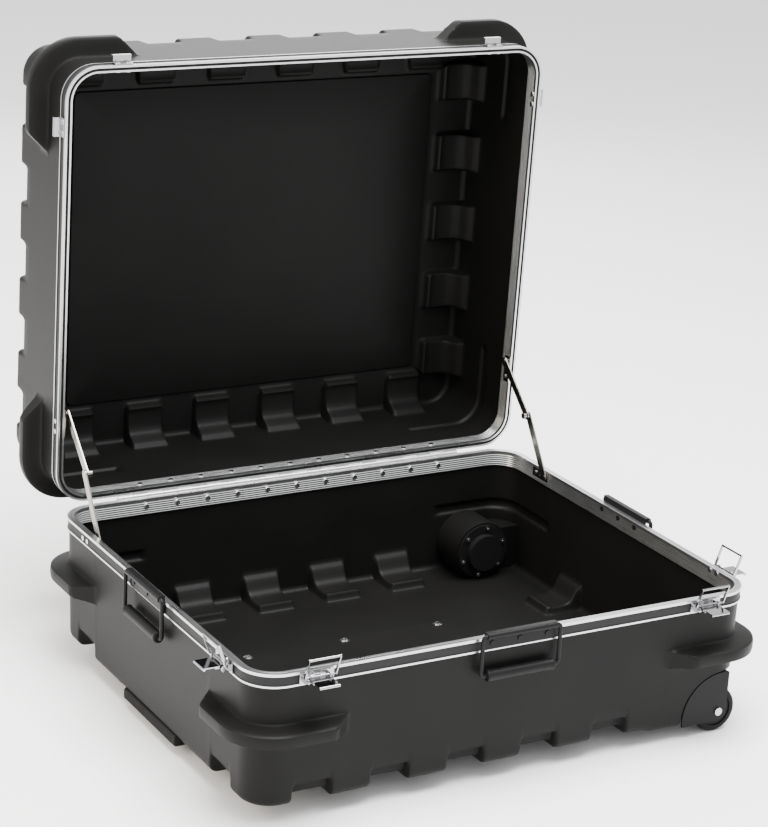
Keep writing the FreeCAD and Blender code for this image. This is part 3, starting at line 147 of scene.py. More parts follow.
# ---------------------------------------------------------------- base shell
# The lower half of the case, rotationally moulded in one piece from black polyethylene. Its four
# corners carry hollow bumpers and its foot has grip notches that show inside as saddles. Two pockets
# take the wheels and a shallow bay takes the pull handle. The rim is riveted over its top edge.
rim_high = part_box("base_valance")[1]
base_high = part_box("base_shell")[1]
half_length, half_depth = rim_high.x, rim_high.y
corner_radius, shell_inset, wall, draft = 0.05, 0.0026, 0.004, tan(radians(1.2))
underside, fillet = 0.024, 0.013
base_height = base_high.z - underside
notch_pitch, notch_width, notch_start, notch_end = 0.1185, 0.057, 0.047, 0.0775
notch_blend = 0.0009
anchor_x, anchor_y = half_length - corner_radius, half_depth - corner_radius
corner_play = 0.028  # the stretch beside a corner whose columns move when the corner needs room
kept_x, kept_y = anchor_x - corner_play, anchor_y - corner_play
bumper_run = 0.141


def crowded(reach, edges, coarse=0.0052, fine=0.0015, spread=0.0042):
    """Places from -reach to reach: the step is coarse, and falls to fine in a bell round each edge."""
    u = np.linspace(-reach, reach, 6001)
    density = np.full_like(u, 1 / coarse)
    for edge in edges:
        density += (1 / fine - 1 / coarse) * np.exp(-((u - edge) / spread) ** 2)
    steps = np.concatenate([[0], np.cumsum((density[1:] + density[:-1]) / 2 * np.diff(u))])
    return np.interp(np.linspace(0, steps[-1], int(steps[-1]) + 1), steps, u)[1:-1]


def columns(edges_x, edges_y, corner_steps=13):
    """Upright lines round the case: the anchor on the inner rectangle and the outward normal of each."""
    x, y = crowded(anchor_x, edges_x), crowded(anchor_y, edges_y)
    anchors, normals = [], []
    for turn, run, across, reach in ((-pi / 2, x, anchor_y, anchor_x), (0, y, anchor_x, anchor_y),
                                     (pi / 2, -x[::-1], anchor_y, anchor_x),
                                     (pi, -y[::-1], anchor_x, anchor_y)):
        normal = np.array([cos(turn), sin(turn)]).round(12)
        along = np.array([-normal[1], normal[0]])
        anchors.append(normal * across + run[:, None] * along)
        normals.append(np.tile(normal, (len(run), 1)))
        bend = turn + np.linspace(0, pi / 2, corner_steps)
        anchors.append(np.tile(normal * across + along * reach, (corner_steps, 1)))
        normals.append(np.stack([np.cos(bend), np.sin(bend)], 1))
    return np.concatenate(anchors), np.concatenate(normals)


def ring(anchors, normals, a, b, r):
    """A rounded rectangle of half sides a and b: anchors stay in place until the corner needs room."""
    def squeezed(p, limit, kept, full):
        """A coordinate kept as it is up to kept, then squeezed evenly so that full lands on limit."""
        scale = min(1.0, limit / (kept + 0.004))
        inner = np.abs(p) * scale
        outer = kept * scale + (np.abs(p) - kept) * (limit - kept * scale) / (full - kept)
        return np.sign(p) * np.where(np.abs(p) <= kept, inner, outer)
    x = squeezed(anchors[:, 0], a - r, kept_x, anchor_x)
    y = squeezed(anchors[:, 1], b - r, kept_y, anchor_y)
    return np.stack([x, y], 1) + normals * r


def soft(x, k):
    """Zero below zero and x above it, with a bend about 3 k long."""
    return k * np.logaddexp(0, x / k)


def plateau(h, stops, tall, k):
    """A ramp up, a flat top and a ramp down over four heights, with soft bends."""
    up, top, edge, down = stops
    rise = (soft(h - up, k) - soft(h - top, k)) * tall / (top - up)
    fall = (soft(h - edge, k) - soft(h - down, k)) * tall / (down - edge)
    return rise - fall


def bumper(anchors, h, stops, tall, k=0.0009):
    """How far a bumper stands out: the lower of its section and of a ramp at each of its ends."""
    on_side = np.abs(np.abs(anchors[:, 1]) - anchor_y) < 1e-6
    past_tip = np.where(on_side, np.abs(anchors[:, 0]) - half_length, np.abs(anchors[:, 1]) - half_depth)
    past_tip += bumper_run
    ramp = past_tip[None, :] * np.ones_like(h)[:, None]
    section = plateau(h, stops, tall, k)[:, None] * np.ones_like(past_tip)[None, :]
    return soft(-k * np.logaddexp(-section / k, -ramp / k), 0.0004)


def resampled(path, share, blunt=0.0035):
    """Points at shares of a path's length, after each point becomes the mean of a blunt stretch."""
    path, count = np.array(path), 400
    length = np.concatenate([[0], np.cumsum(np.hypot(*np.diff(path, axis=0).T))])
    fine = np.linspace(0, length[-1], count)
    dense = np.stack([np.interp(fine, length, path[:, n]) for n in (0, 1)], 1)
    window = max(1, int(blunt / length[-1] * count))
    padded = np.concatenate([np.repeat(dense[:1], window, 0), dense, np.repeat(dense[-1:], window, 0)])
    kernel = np.ones(2 * window + 1) / (2 * window + 1)
    dense = np.stack([np.convolve(padded[:, n], kernel, "valid") for n in (0, 1)], 1)
    return np.stack([np.interp(share, np.linspace(0, 1, count), dense[:, n]) for n in (0, 1)], 1)


def skin(height, thick, bumper_stops, bumper_tall, notches, path, step, foot=None):
    """One face of a moulded tub, rim to middle: rows of (inset, corner radius, height) round all columns.

    The wall leans in by the draft, turns by a fillet and runs flat to a rectangular panel whose edge
    is a step, then to a line in the middle. Notches blend the wall's section into the path's."""
    anchors, normals = tub_columns
    lean = shell_inset + thick
    bend = fillet - thick
    up, top, edge, down = bumper_stops
    near = np.array((0.006, 0.002, 0.0006))
    heights = np.concatenate([
        np.linspace(height, down + near[0], 4)[:-1], down + near,
        np.linspace(down, edge, 4), edge - near[::-1],
        top + near, np.linspace(top, up, 4), up - near[::-1],
        np.linspace(up - near[0], notch_start + 0.004, 4)[1:-1],
        np.linspace(notch_start + 0.004, fillet, 8)[:-1]])
    insets = lean + (height - heights) * draft
    foot_inset = lean + (height - fillet) * draft
    turn = np.linspace(0, pi / 2, 13)
    insets = np.concatenate([insets, foot_inset + bend * (1 - np.cos(turn))])
    heights = np.concatenate([heights, fillet - bend * np.sin(turn)])
    flat_rows, last_radius = 12, 0.0015
    flat = np.linspace(insets[-1], notch_end + 0.003, flat_rows + 1)[1:]
    flat_radii = np.linspace(corner_radius - insets[-1], last_radius, flat_rows + 1)[1:]
    radii = np.concatenate([corner_radius - insets, flat_radii])
    insets = np.concatenate([insets, flat])
    heights = np.concatenate([heights, np.full(flat_rows, thick)])
    rows = np.array([ring(anchors, normals, half_length - inset, half_depth - inset, radius)
                     for inset, radius in zip(insets, radii)])
    z = np.tile(heights[:, None], (1, len(anchors)))
    rows += normals * bumper(anchors, heights, bumper_stops, bumper_tall)[:, :, None]

    inside = np.flatnonzero((heights < notch_start) & (insets < notch_end + 0.0001) | (insets > foot_inset))
    inside = inside[insets[inside] <= notch_end]
    run = np.concatenate([[0], np.cumsum(np.hypot(np.diff(insets[inside]), np.diff(heights[inside])))])
    start = (insets[inside[0]], heights[inside[0]])
    bitten = resampled([start] + list(path) + [(notch_end, thick)], run / run[-1])
    shift_in, shift_up = bitten[:, 0] - insets[inside], bitten[:, 1] - heights[inside]
    for side, places in notches.items():
        facing = {"front": (0, -1), "back": (0, 1), "left": (-1, 0), "right": (1, 0)}[side]
        mine = np.flatnonzero(normals @ np.array(facing) > 0.9999)
        axis = 0 if facing[0] == 0 else 1
        patch = np.ix_(inside, mine)
        along = rows[patch][:, :, axis]
        for place in places:
            beyond = np.abs(along - place) - notch_width / 2 - thick * 0.6
            bite = 1 / (1 + np.exp(beyond / notch_blend))
            rows[patch] -= normals[mine][None] * (bite * shift_in[:, None])[:, :, None]
            z[patch] += bite * shift_up[:, None]
    if foot:
        x, y = rows[:, :, 0], np.abs(rows[:, :, 1])
        under = np.clip((0.075 - z) / 0.045, 0, 1)
        deep = foot["drop"] / (1 + np.exp(-(x - foot["start"]) / 0.0065))
        z -= deep * under ** 1.5 / (1 + np.exp(-(y - foot["inner"]) / 0.004))

    panel_a, panel_b = step["half"]
    middle = []
    for wider, radius, share in ((0.0016, 0.01, 0.0), (0.0008, 0.01, 0.1), (-0.0008, 0.009, 0.9),
                                 (-0.0016, 0.009, 1.0)):
        outline = ring(anchors, normals, panel_a + wider, panel_b + wider, radius)
        middle.append(np.column_stack([outline, np.full(len(anchors), thick + step["rise"] * share)]))
    spine = panel_a - panel_b
    for share in (0.35, 0.7, 1.0):
        inner = middle[3].copy()
        inner[:, 0] *= 1 - share * (1 - spine / panel_a)
        inner[:, 1] *= 1 - share
        middle.append(inner)
    return np.concatenate([np.dstack([rows, z]), np.array(middle)])


def grid_mesh(name, points, closed_rows=False):
    """A mesh of quads on a grid whose columns run round; doubled points at poles are merged."""
    count, around = points.shape[:2]
    index = np.arange(count * around).reshape(count, around)
    following = np.roll(index, -1, 1)
    if closed_rows:
        below, below_next = np.roll(index, -1, 0), np.roll(following, -1, 0)
    else:
        index, following, below, below_next = index[:-1], following[:-1], index[1:], following[1:]
    faces = np.stack([index, below, below_next, following], -1).reshape(-1, 4)
    mesh = bpy.data.meshes.new(name)
    mesh.from_pydata(points.reshape(-1, 3).tolist(), [], faces.tolist())
    tidy = bmesh.new()
    tidy.from_mesh(mesh)
    bmesh.ops.remove_doubles(tidy, verts=tidy.verts, dist=1e-6)
    bmesh.ops.recalc_face_normals(tidy, faces=tidy.faces)
    tidy.to_mesh(mesh)
    tidy.free()
    return mesh


def piece(name, mesh, body, material, replaced=(), crease=35):
    """A finished piece: smooth-shaded, with sharp edges past an angle, riding on a body."""
    mesh.materials.clear()
    mesh.materials.append(material)
    mesh.shade_smooth()
    mesh.set_sharp_from_angle(angle=radians(crease))
    made = bpy.data.objects.new(name, mesh)
    bpy.context.collection.objects.link(made)
    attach(made, body)
    if replaced:
        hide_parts(*replaced)
    return made


def prism(outline, low, high):
    """Points and faces of a flat outline in X and Z carried along Y."""
    count = len(outline)
    points = [(x, y, z) for y in (low, high) for x, z in outline]
    faces = [tuple(range(count)), tuple(range(2 * count - 1, count - 1, -1))]
    faces += [(n, n + count, (n + 1) % count + count, (n + 1) % count) for n in range(count)]
    return points, faces


def merged(name, parts):
    """One mesh of several closed parts, faces turned outwards."""
    points, faces = [], []
    for part_points, part_faces in parts:
        faces += [tuple(n + len(points) for n in face) for face in part_faces]
        points += part_points
    mesh = bpy.data.meshes.new(name)
    mesh.from_pydata(points, [], faces)
    turned = bmesh.new()
    turned.from_mesh(mesh)
    bmesh.ops.recalc_face_normals(turned, faces=turned.faces)
    turned.to_mesh(mesh)
    turned.free()
    return mesh


def carved(mesh, operation, tool):
    """The mesh after a boolean with a tool mesh."""
    blank, cutter = bpy.data.objects.new("blank", mesh), bpy.data.objects.new("cutter", tool)
    for thing in (blank, cutter):
        bpy.context.collection.objects.link(thing)
    modifier = blank.modifiers.new("carve", "BOOLEAN")
    modifier.operation, modifier.object, modifier.solver = operation, cutter, "EXACT"
    result = bpy.data.meshes.new_from_object(blank.evaluated_get(bpy.context.evaluated_depsgraph_get()))
    for thing in (blank, cutter):
        bpy.data.objects.remove(thing)
    return result


def arc(x, z, r, start, end, steps):
    """Points of an arc in X and Z, angles in degrees."""
    turn = np.radians(np.linspace(start, end, steps))
    return list(zip(x + r * np.cos(turn), z + r * np.sin(turn)))


front_shift = -0.009
back_places = [n * notch_pitch for n in (-2.5, -1.5, -0.5, 0.5, 1.5)]
front_places = [place + front_shift for place in back_places]
side_place, right_place = 0.228, 0.112
base_notches = {"front": front_places, "back": back_places, "left": [-side_place, side_place],
                "right": [right_place]}
edge_out = notch_width / 2 + 0.001
tub_columns = columns([p + s * edge_out for p in front_places + back_places for s in (-1, 1)],
                      [p + s * edge_out for p in (-side_place, right_place, side_place) for s in (-1, 1)])
outside_bite = [(0.0066, 0.0385), (0.0068, 0.0293), (0.0180, 0.0278), (0.0200, 0.0150), (0.0230, 0.0100),
                (0.0690, 0.0095), (0.0740, 0.0)]
inside_saddle = [(0.0105, 0.0420), (0.0160, 0.0398), (0.0185, 0.0350), (0.0215, 0.0300), (0.0245, 0.0235),
                 (0.0295, 0.0180), (0.0365, 0.0148), (0.0500, 0.0136), (0.0640, 0.0136), (0.0665, 0.0160),
                 (0.0705, 0.0158), (0.0725, 0.0115), (0.0740, 0.0048)]
base_stops, hollow_stops = (0.0950, 0.0987, 0.1185, 0.1215), (0.0945, 0.0975, 0.1090, 0.1120)
bumper_out, bumper_hollow = 0.0292, 0.0045
panel = {"half": (0.303, 0.248), "rise": 0.0}
foot = {"drop": 0.0058, "start": 0.235, "inner": 0.238}

base_outside = skin(base_height, 0.0, base_stops, bumper_out, base_notches, outside_bite, panel, foot)
base_inside = skin(base_height, wall, hollow_stops, bumper_hollow, base_notches, inside_saddle, panel)
base_points = np.concatenate([base_outside[::-1], base_inside])
base_points[:, :, 2] += underside
base_mesh = grid_mesh("base_shell", base_points)

cup_low, cup_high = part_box("wheel_cups")
well_x, well_z, well_radius, well_depth = 0.36, 0.0293, 0.067, 0.05
cup_x, cup_z = (cup_low.x + cup_high.x) / 2, (cup_low.z + cup_high.z) / 2
boss_radius, boss_depth, far = 0.048, 0.074, 0.44
block_outline = arc(well_x, well_z, well_radius + wall, 180, 90, 25) + [
    (far, well_z + well_radius + wall), (far, 0.0), (well_x - well_radius - wall, 0.0)]
well_outline = arc(well_x, well_z, well_radius, 180, 90, 25) + [
    (far, well_z + well_radius), (far, -0.02), (well_x - well_radius, -0.02)]
boss_outline = arc(cup_x, cup_z, boss_radius, 0, 354, 60)
pocket_outline = arc(cup_x, cup_z, boss_radius - wall, 0, 354, 60)


def between(sign, start, end):
    """The two Y values that lie these depths in from one long side, in rising order."""
    return sorted((sign * (half_depth - start), sign * (half_depth - end)))


blocks, wells = [], []
for sign in (-1, 1):
    blocks.append(prism(block_outline, *between(sign, -0.01, well_depth + wall)))
    blocks.append(prism(boss_outline, *between(sign, 0.01, boss_depth)))
    wells.append(prism(well_outline, *between(sign, -0.04, well_depth)))
    wells.append(prism(pocket_outline, *between(sign, well_depth - 0.0005, boss_depth - wall)))
bay_end, bay_half, bay_top, hump_round = 0.17, 0.109, 0.032, 0.006
hump_corner = arc(bay_end + wall - hump_round, bay_top + wall - hump_round, hump_round, 0, 90, 7)
hump_outline = [(-far, 0.0), (bay_end + wall, 0.0)] + hump_corner + [(-far, bay_top + wall)]
bay_outline = [(-far, -0.02), (bay_end, -0.02), (bay_end, bay_top), (-far, bay_top)]
blocks.append(prism(hump_outline, -bay_half - wall, bay_half + wall))
wells.append(prism(bay_outline, -bay_half, bay_half))
tub_columns = columns([], [], 9)
middle_wall = skin(base_height, wall / 2, base_stops, 0.0, {}, inside_saddle, panel)
lid_of_plug = middle_wall[:1].copy()
lid_of_plug[:, :, :2] *= 0.01
middle_wall[:, :, 2] += underside
lid_of_plug[:, :, 2] += underside
plug = grid_mesh("plug", np.concatenate([lid_of_plug, middle_wall]))
for block in blocks:
    part = carved(merged("block", [block]), "INTERSECT", plug)
    base_mesh = carved(base_mesh, "UNION", part)
for well in wells:
    base_mesh = carved(base_mesh, "DIFFERENCE", merged("well", [well]))
base_mesh.name = "base_shell_moulding"


def grain_group():
    """Moulded plastic: a pebbled height, a slow stain and thin scuffs, all from object coordinates."""
    tree = bpy.data.node_groups.new("grain", "ShaderNodeTree")
    for name, direction in (("Vector", "INPUT"), ("Pebble", "INPUT"), ("Height", "OUTPUT"),
                            ("Stain", "OUTPUT"), ("Scuff", "OUTPUT")):
        kind = "NodeSocketVector" if name == "Vector" else "NodeSocketFloat"
        tree.interface.new_socket(name=name, in_out=direction, socket_type=kind)
    start, end = tree.nodes.new("NodeGroupInput"), tree.nodes.new("NodeGroupOutput")
    vector, pebble = start.outputs["Vector"], start.outputs["Pebble"]
    fine = add(tree, "TexNoise", {"Vector": vector, "Scale": pebble, "Detail": 2.0, "Roughness": 0.55})
    broad = add(tree, "TexNoise", {"Vector": vector, "Scale": 9.0, "Detail": 3.0})
    patches = add(tree, "TexNoise", {"Vector": vector, "Scale": 26.0, "Detail": 6.0, "Roughness": 0.75})
    tree.links.new(fine.outputs["Fac"], end.inputs["Height"])
    stain = add(tree, "MapRange", {"Value": broad.outputs["Fac"], "From Min": 0.3, "From Max": 0.7})
    tree.links.new(stain.outputs["Result"], end.inputs["Stain"])
    scuff = add(tree, "MapRange", {"Value": patches.outputs["Fac"], "From Min": 0.62, "From Max": 0.8})
    tree.links.new(scuff.outputs["Result"], end.inputs["Scuff"])
    return tree


grain = grain_group()


def moulded_plastic(name, dark, light, rough, pebble=900.0, depth=0.35):
    """Moulded plastic between two close colours; roughness rises where it is scuffed."""
    material, tree, principled = shader(name, Specular_IOR_Level=0.1)
    place = add(tree, "TexCoord")
    surface = add(tree, "Group", node_tree=grain)
    surface.inputs["Pebble"].default_value = pebble
    tree.links.new(place.outputs["Object"], surface.inputs["Vector"])
    colour = add(tree, "Mix", {"Factor": surface.outputs["Stain"]}, data_type="RGBA")
    colour.inputs["A"].default_value, colour.inputs["B"].default_value = (*dark, 1), (*light, 1)
    tree.links.new(colour.outputs["Result"], principled.inputs["Base Color"])
    gloss = add(tree, "MapRange", {"Value": surface.outputs["Scuff"], "To Min": rough,
                                   "To Max": rough + 0.12})
    tree.links.new(gloss.outputs["Result"], principled.inputs["Roughness"])
    relief = add(tree, "Bump", {"Height": surface.outputs["Height"], "Strength": depth, "Distance": 0.0004})
    tree.links.new(relief.outputs["Normal"], principled.inputs["Normal"])
    return material


shell_black = moulded_plastic("shell_black", (0.0040, 0.0039, 0.0037), (0.0052, 0.0051, 0.0048), 0.46)
piece("base_shell_moulding", base_mesh, "base", shell_black,
      ["base_shell", "base_bumpers"])


# ---------------------------------------------------------------- lid shell
# The upper half, moulded from the same polyethylene. Notches run round all its four sides and a
# shallow panel is raised in its middle. It is made closed and then swung open on the hinge.
hinge_joint = joints["lid_hinge"]
hinge_point = Vector(hinge_joint["pos_m"])
open_turn = radians(-hinge_joint["range_deg"][1])
to_hinge = Matrix.Translation(hinge_point)
swing = to_hinge @ Matrix.Rotation(open_turn, 4, "X") @ to_hinge.inverted()
lid_top, lid_height = 0.411, 0.1864
lid_long = [n * notch_pitch for n in (-2.5, -1.5, -0.5, 0.5, 1.5, 2.5)]
lid_short = [n * notch_pitch for n in (-2, -1, 0, 1, 2)]
lid_notches = {"front": lid_long, "back": lid_long, "left": lid_short, "right": lid_short}
tub_columns = columns([p + s * edge_out for p in lid_long for s in (-1, 1)],
                      [p + s * edge_out for p in lid_short for s in (-1, 1)])
lid_stops, lid_hollow = (0.0925, 0.0957, 0.1155, 0.1190), (0.0955, 0.0985, 0.1105, 0.1135)
lid_panel = {"half": (0.310, 0.250), "rise": 0.003}
lid_points = np.concatenate([
    skin(lid_height, 0.0, lid_stops, bumper_out, lid_notches, outside_bite, lid_panel)[::-1],
    skin(lid_height, wall, lid_hollow, bumper_hollow, lid_notches, inside_saddle, lid_panel)])
lid_points[:, :, 2] = lid_top - lid_points[:, :, 2]
lid_mesh = grid_mesh("lid_shell_moulding", lid_points)
lid_mesh.transform(swing)
piece("lid_shell_moulding", lid_mesh, "lid", shell_black,
      ["lid_shell", "lid_bumpers"])


# ---------------------------------------------------------------- rims and gasket
# Two aluminium extrusions close the shells' edges: a bright lip, a charcoal strip under it, a thin
# bright bead, and a ribbed leg inside. The lid's lip holds a solid rubber gasket in a groove.
def rim_aluminium(name, edge, sign, open_lid):
    """Bright extrusion: the charcoal strip lies between lip and bead on the outer leg only."""
    bright, charcoal = (0.60, 0.61, 0.61), (0.016, 0.016, 0.017)
    material, tree, principled = shader(name, Specular_IOR_Level=0.12)
    place = add(tree, "TexCoord").outputs["Object"]
    if open_lid:
        back = swing.inverted()
        turned = add(tree, "Mapping", {"Vector": place, "Location": back.to_translation(),
                                       "Rotation": back.to_euler()})
        place = turned.outputs["Vector"]
    parts = add(tree, "SeparateXYZ", {"Vector": place})
    depth = add(tree, "Math", {0: parts.outputs["Z"], 1: edge}, operation="SUBTRACT")
    depth = add(tree, "Math", {0: depth.outputs[0], 1: -sign}, operation="MULTIPLY")
    flat = add(tree, "VectorMath", {0: place}, operation="ABSOLUTE")
    flat = add(tree, "VectorMath", {0: flat.outputs[0], 1: (anchor_x, anchor_y, 9.0)}, operation="SUBTRACT")
    flat = add(tree, "VectorMath", {0: flat.outputs[0], 1: (0, 0, 0)}, operation="MAXIMUM")
    reach = add(tree, "VectorMath", {0: flat.outputs[0]}, operation="LENGTH").outputs["Value"]

    def within(number, low, high, blur=0.00015):
        """One between two values, with short soft edges."""
        rise = add(tree, "MapRange", {"Value": number, "From Min": low - blur, "From Max": low + blur})
        fall = add(tree, "MapRange", {"Value": number, "From Min": high - blur, "From Max": high + blur,
                                      "To Min": 1.0, "To Max": 0.0})
        both = add(tree, "Math", {0: rise.outputs["Result"], 1: fall.outputs["Result"]}, operation="MULTIPLY")
        return both.outputs[0]
    outside = within(reach, corner_radius - 0.003, 1.0)
    strip = add(tree, "Math", {0: within(depth.outputs[0], 0.0041, 0.0174), 1: outside}, operation="MULTIPLY")
    # Painted shade: a thin line in the middle of the lip's top face is coloured a darker grey, in place of
    # the shade inside the groove that the bump further down also carves there.
    line = within(reach, corner_radius - 0.0056, corner_radius - 0.0044)
    tint = add(tree, "Mix", {"Factor": strip.outputs[0]}, data_type="RGBA")
    tint.inputs["A"].default_value, tint.inputs["B"].default_value = (*bright, 1), (*charcoal, 1)
    groove_shade_tint = add(tree, "Mix", {"Factor": line, "A": tint.outputs["Result"]}, data_type="RGBA")
    groove_shade_tint.inputs["B"].default_value = (0.40, 0.40, 0.41, 1)
    tree.links.new(groove_shade_tint.outputs["Result"], principled.inputs["Base Color"])
    bare = add(tree, "Math", {0: 1.0, 1: strip.outputs[0]}, operation="SUBTRACT")
    tree.links.new(bare.outputs[0], principled.inputs["Metallic"])
    streak_place = add(tree, "VectorMath", {0: place, 1: (6.0, 6.0, 900.0)}, operation="MULTIPLY")
    streaks = add(tree, "TexNoise", {"Vector": streak_place.outputs[0], "Scale": 3.0, "Detail": 4.0})
    gloss = add(tree, "MapRange", {"Value": streaks.outputs["Fac"], "To Min": 0.20, "To Max": 0.38})
    dull = add(tree, "Mix", {"Factor": strip.outputs[0], "A": gloss.outputs["Result"], "B": 0.5})
    tree.links.new(dull.outputs["Result"], principled.inputs["Roughness"])
    wave = add(tree, "Math", {0: depth.outputs[0], 1: 2 * pi / 0.0034}, operation="MULTIPLY")
    wave = add(tree, "Math", {0: wave.outputs[0]}, operation="SINE")
    inside = add(tree, "Math", {0: within(reach, 0.0, corner_radius - 0.0085), 1: within(
        depth.outputs[0], 0.005, 0.024)}, operation="MULTIPLY")
    ribs = add(tree, "Math", {0: wave.outputs[0], 1: inside.outputs[0]}, operation="MULTIPLY")
    groove = add(tree, "Math", {0: ribs.outputs[0], 1: line}, operation="SUBTRACT")
    relief = add(tree, "Bump", {"Height": groove.outputs[0], "Strength": 0.6, "Distance": 0.0006})
    tree.links.new(relief.outputs["Normal"], principled.inputs["Normal"])
    return material


def finish_node(name, material):
    """Gives a CAD node its material in every slot."""
    mesh = nodes[name].data
    if not mesh.materials:
        mesh.materials.append(material)
    for place in nodes[name].material_slots:
        place.material = material


finish_node("base_valance", rim_aluminium("base_rim_aluminium", rim_high.z, 1, False))
finish_node("lid_valance", rim_aluminium("lid_rim_aluminium", rim_high.z + 0.0006, -1, True))
gasket_black = moulded_plastic("gasket_black", (0.004, 0.004, 0.004), (0.007, 0.007, 0.007), 0.7, 1500.0, 0.5)
finish_node("lid_gasket", gasket_black)


# ---------------------------------------------------------------- hinge, rivets and screws
# A continuous steel hinge joins the rims at the back. Its leaves, like all the fittings, are held
# by domed rivets through the rims; plated screws hold the tray and the wheel cups.
def plated_steel(name, colour, rough, streak=(900.0, 30.0, 30.0), depth=0.08):
    """Plated metal with fine streaks along one way, a little tarnish, and a soft gloss."""
    material, tree, principled = shader(name, colour, Metallic=1.0)
    place = add(tree, "TexCoord").outputs["Object"]
    stretched = add(tree, "VectorMath", {0: place, 1: streak}, operation="MULTIPLY")
    lines = add(tree, "TexNoise", {"Vector": stretched.outputs[0], "Scale": 1.0, "Detail": 5.0})
    cloud = add(tree, "TexNoise", {"Vector": place, "Scale": 60.0, "Detail": 4.0})
    gloss = add(tree, "MapRange", {"Value": lines.outputs["Fac"], "To Min": rough * 0.7,
                                   "To Max": rough * 1.3})
    tree.links.new(gloss.outputs["Result"], principled.inputs["Roughness"])
    tarnish = add(tree, "Mix", {"Factor": cloud.outputs["Fac"]}, data_type="RGBA")
    tarnish.inputs["A"].default_value = (*[c * 0.86 for c in colour], 1)
    tarnish.inputs["B"].default_value = (*colour, 1)
    tree.links.new(tarnish.outputs["Result"], principled.inputs["Base Color"])
    relief = add(tree, "Bump", {"Height": lines.outputs["Fac"], "Strength": depth, "Distance": 0.0003})
    tree.links.new(relief.outputs["Normal"], principled.inputs["Normal"])
    return material


hinge_steel = plated_steel("hinge_steel", (0.60, 0.60, 0.60), 0.3, (25.0, 900.0, 900.0))
rivet_steel = plated_steel("rivet_steel", (0.66, 0.66, 0.67), 0.25, (200.0, 200.0, 200.0))
for name in ("hinge_base_leaf", "hinge_lid_leaf", "hinge_pin"):
    finish_node(name, hinge_steel)
for name in ("base_rivets", "lid_rivets", "latch_rivets", "wheel_cup_screws", "floor_screws"):
    finish_node(name, rivet_steel)


# ---------------------------------------------------------------- carrying handles
# Three bent-wire bails in rolled steel plates, powder coated black. Each has a rubber sleeve as a
# grip, moulded with a raised collar at both ends, and hangs down on its own wall.
def powder_coat(name, colour=(0.0062, 0.0062, 0.0064)):
    """Black powder coat: a fine orange peel over steel."""
    return moulded_plastic(name, colour, tuple(c * 1.4 for c in colour), 0.32, 1600.0, 0.3)


powder_black = powder_coat("powder_black")
rubber_black = moulded_plastic("rubber_black", (0.0060, 0.0060, 0.0060), (0.0085, 0.0085, 0.0083),
                               0.42, 1400.0, 0.2)
finish_node("handle_rivets", powder_black)


def turned(name, section, axis, centre, steps=48):
    """A solid of revolution: a closed section of (along the axis, radius) carried round a row axis."""
    section = np.array(section)
    bend = np.linspace(0, 2 * pi, steps, endpoint=False)
    across = section[:, 1][:, None] * np.cos(bend)[None, :]
    up = section[:, 1][:, None] * np.sin(bend)[None, :]
    along = np.tile(section[:, 0][:, None], (1, steps))
    order = {"x": (along, across, up), "y": (across, along, up)}[axis]
    return grid_mesh(name, np.stack(order, -1) + np.array(centre), closed_rows=True)


grip_wide, grip_round, grip_waist, grip_collar, wire_radius = 0.0087, 0.0025, 0.0007, 0.004, 0.003
for side, axis in (("front", "x"), ("left", "y"), ("right", "y")):
    for part in ("plate", "bail"):
        finish_node(f"{side}_handle_{part}", powder_black)
    low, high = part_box(f"{side}_handle_grip")
    half = (high.x - low.x if axis == "x" else high.y - low.y) / 2
    turn = np.linspace(0, pi / 2, 5)
    shoulder = [(half - grip_round + grip_round * sin(a), grip_wide - grip_round + grip_round * cos(a))
                for a in turn]
    body = [(x, grip_wide - grip_waist * (1 - (x / half) ** 8))
            for x in np.linspace(-half + grip_collar, half - grip_collar, 25)]
    section = [(-half, wire_radius)] + [(-x, r) for x, r in shoulder[::-1]] + body + shoulder
    section.append((half, wire_radius))
    mesh = turned(f"{side}_grip_sleeve", section, axis, (low + high) / 2)
    piece(f"{side}_grip_sleeve", mesh, f"{side}_handle", rubber_black, [f"{side}_handle_grip"])


# ---------------------------------------------------------------- draw latches
# Pressed steel latches, bright chromium plated: a plate with two ears, a lever on a pin, and a
# bent hasp that hooks over a keeper on the lid's rim.
latch_chrome = plated_steel("latch_chrome", (0.40, 0.40, 0.41), 0.12, (120.0, 120.0, 120.0), 0.03)
for corner in ("front_left", "front_right", "left", "right"):
    for part in ("plate", "lever", "hasp"):
        finish_node(f"{corner}_latch_{part}", latch_chrome)
for name in ("latch_pins", "latch_keepers"):
    finish_node(name, latch_chrome)


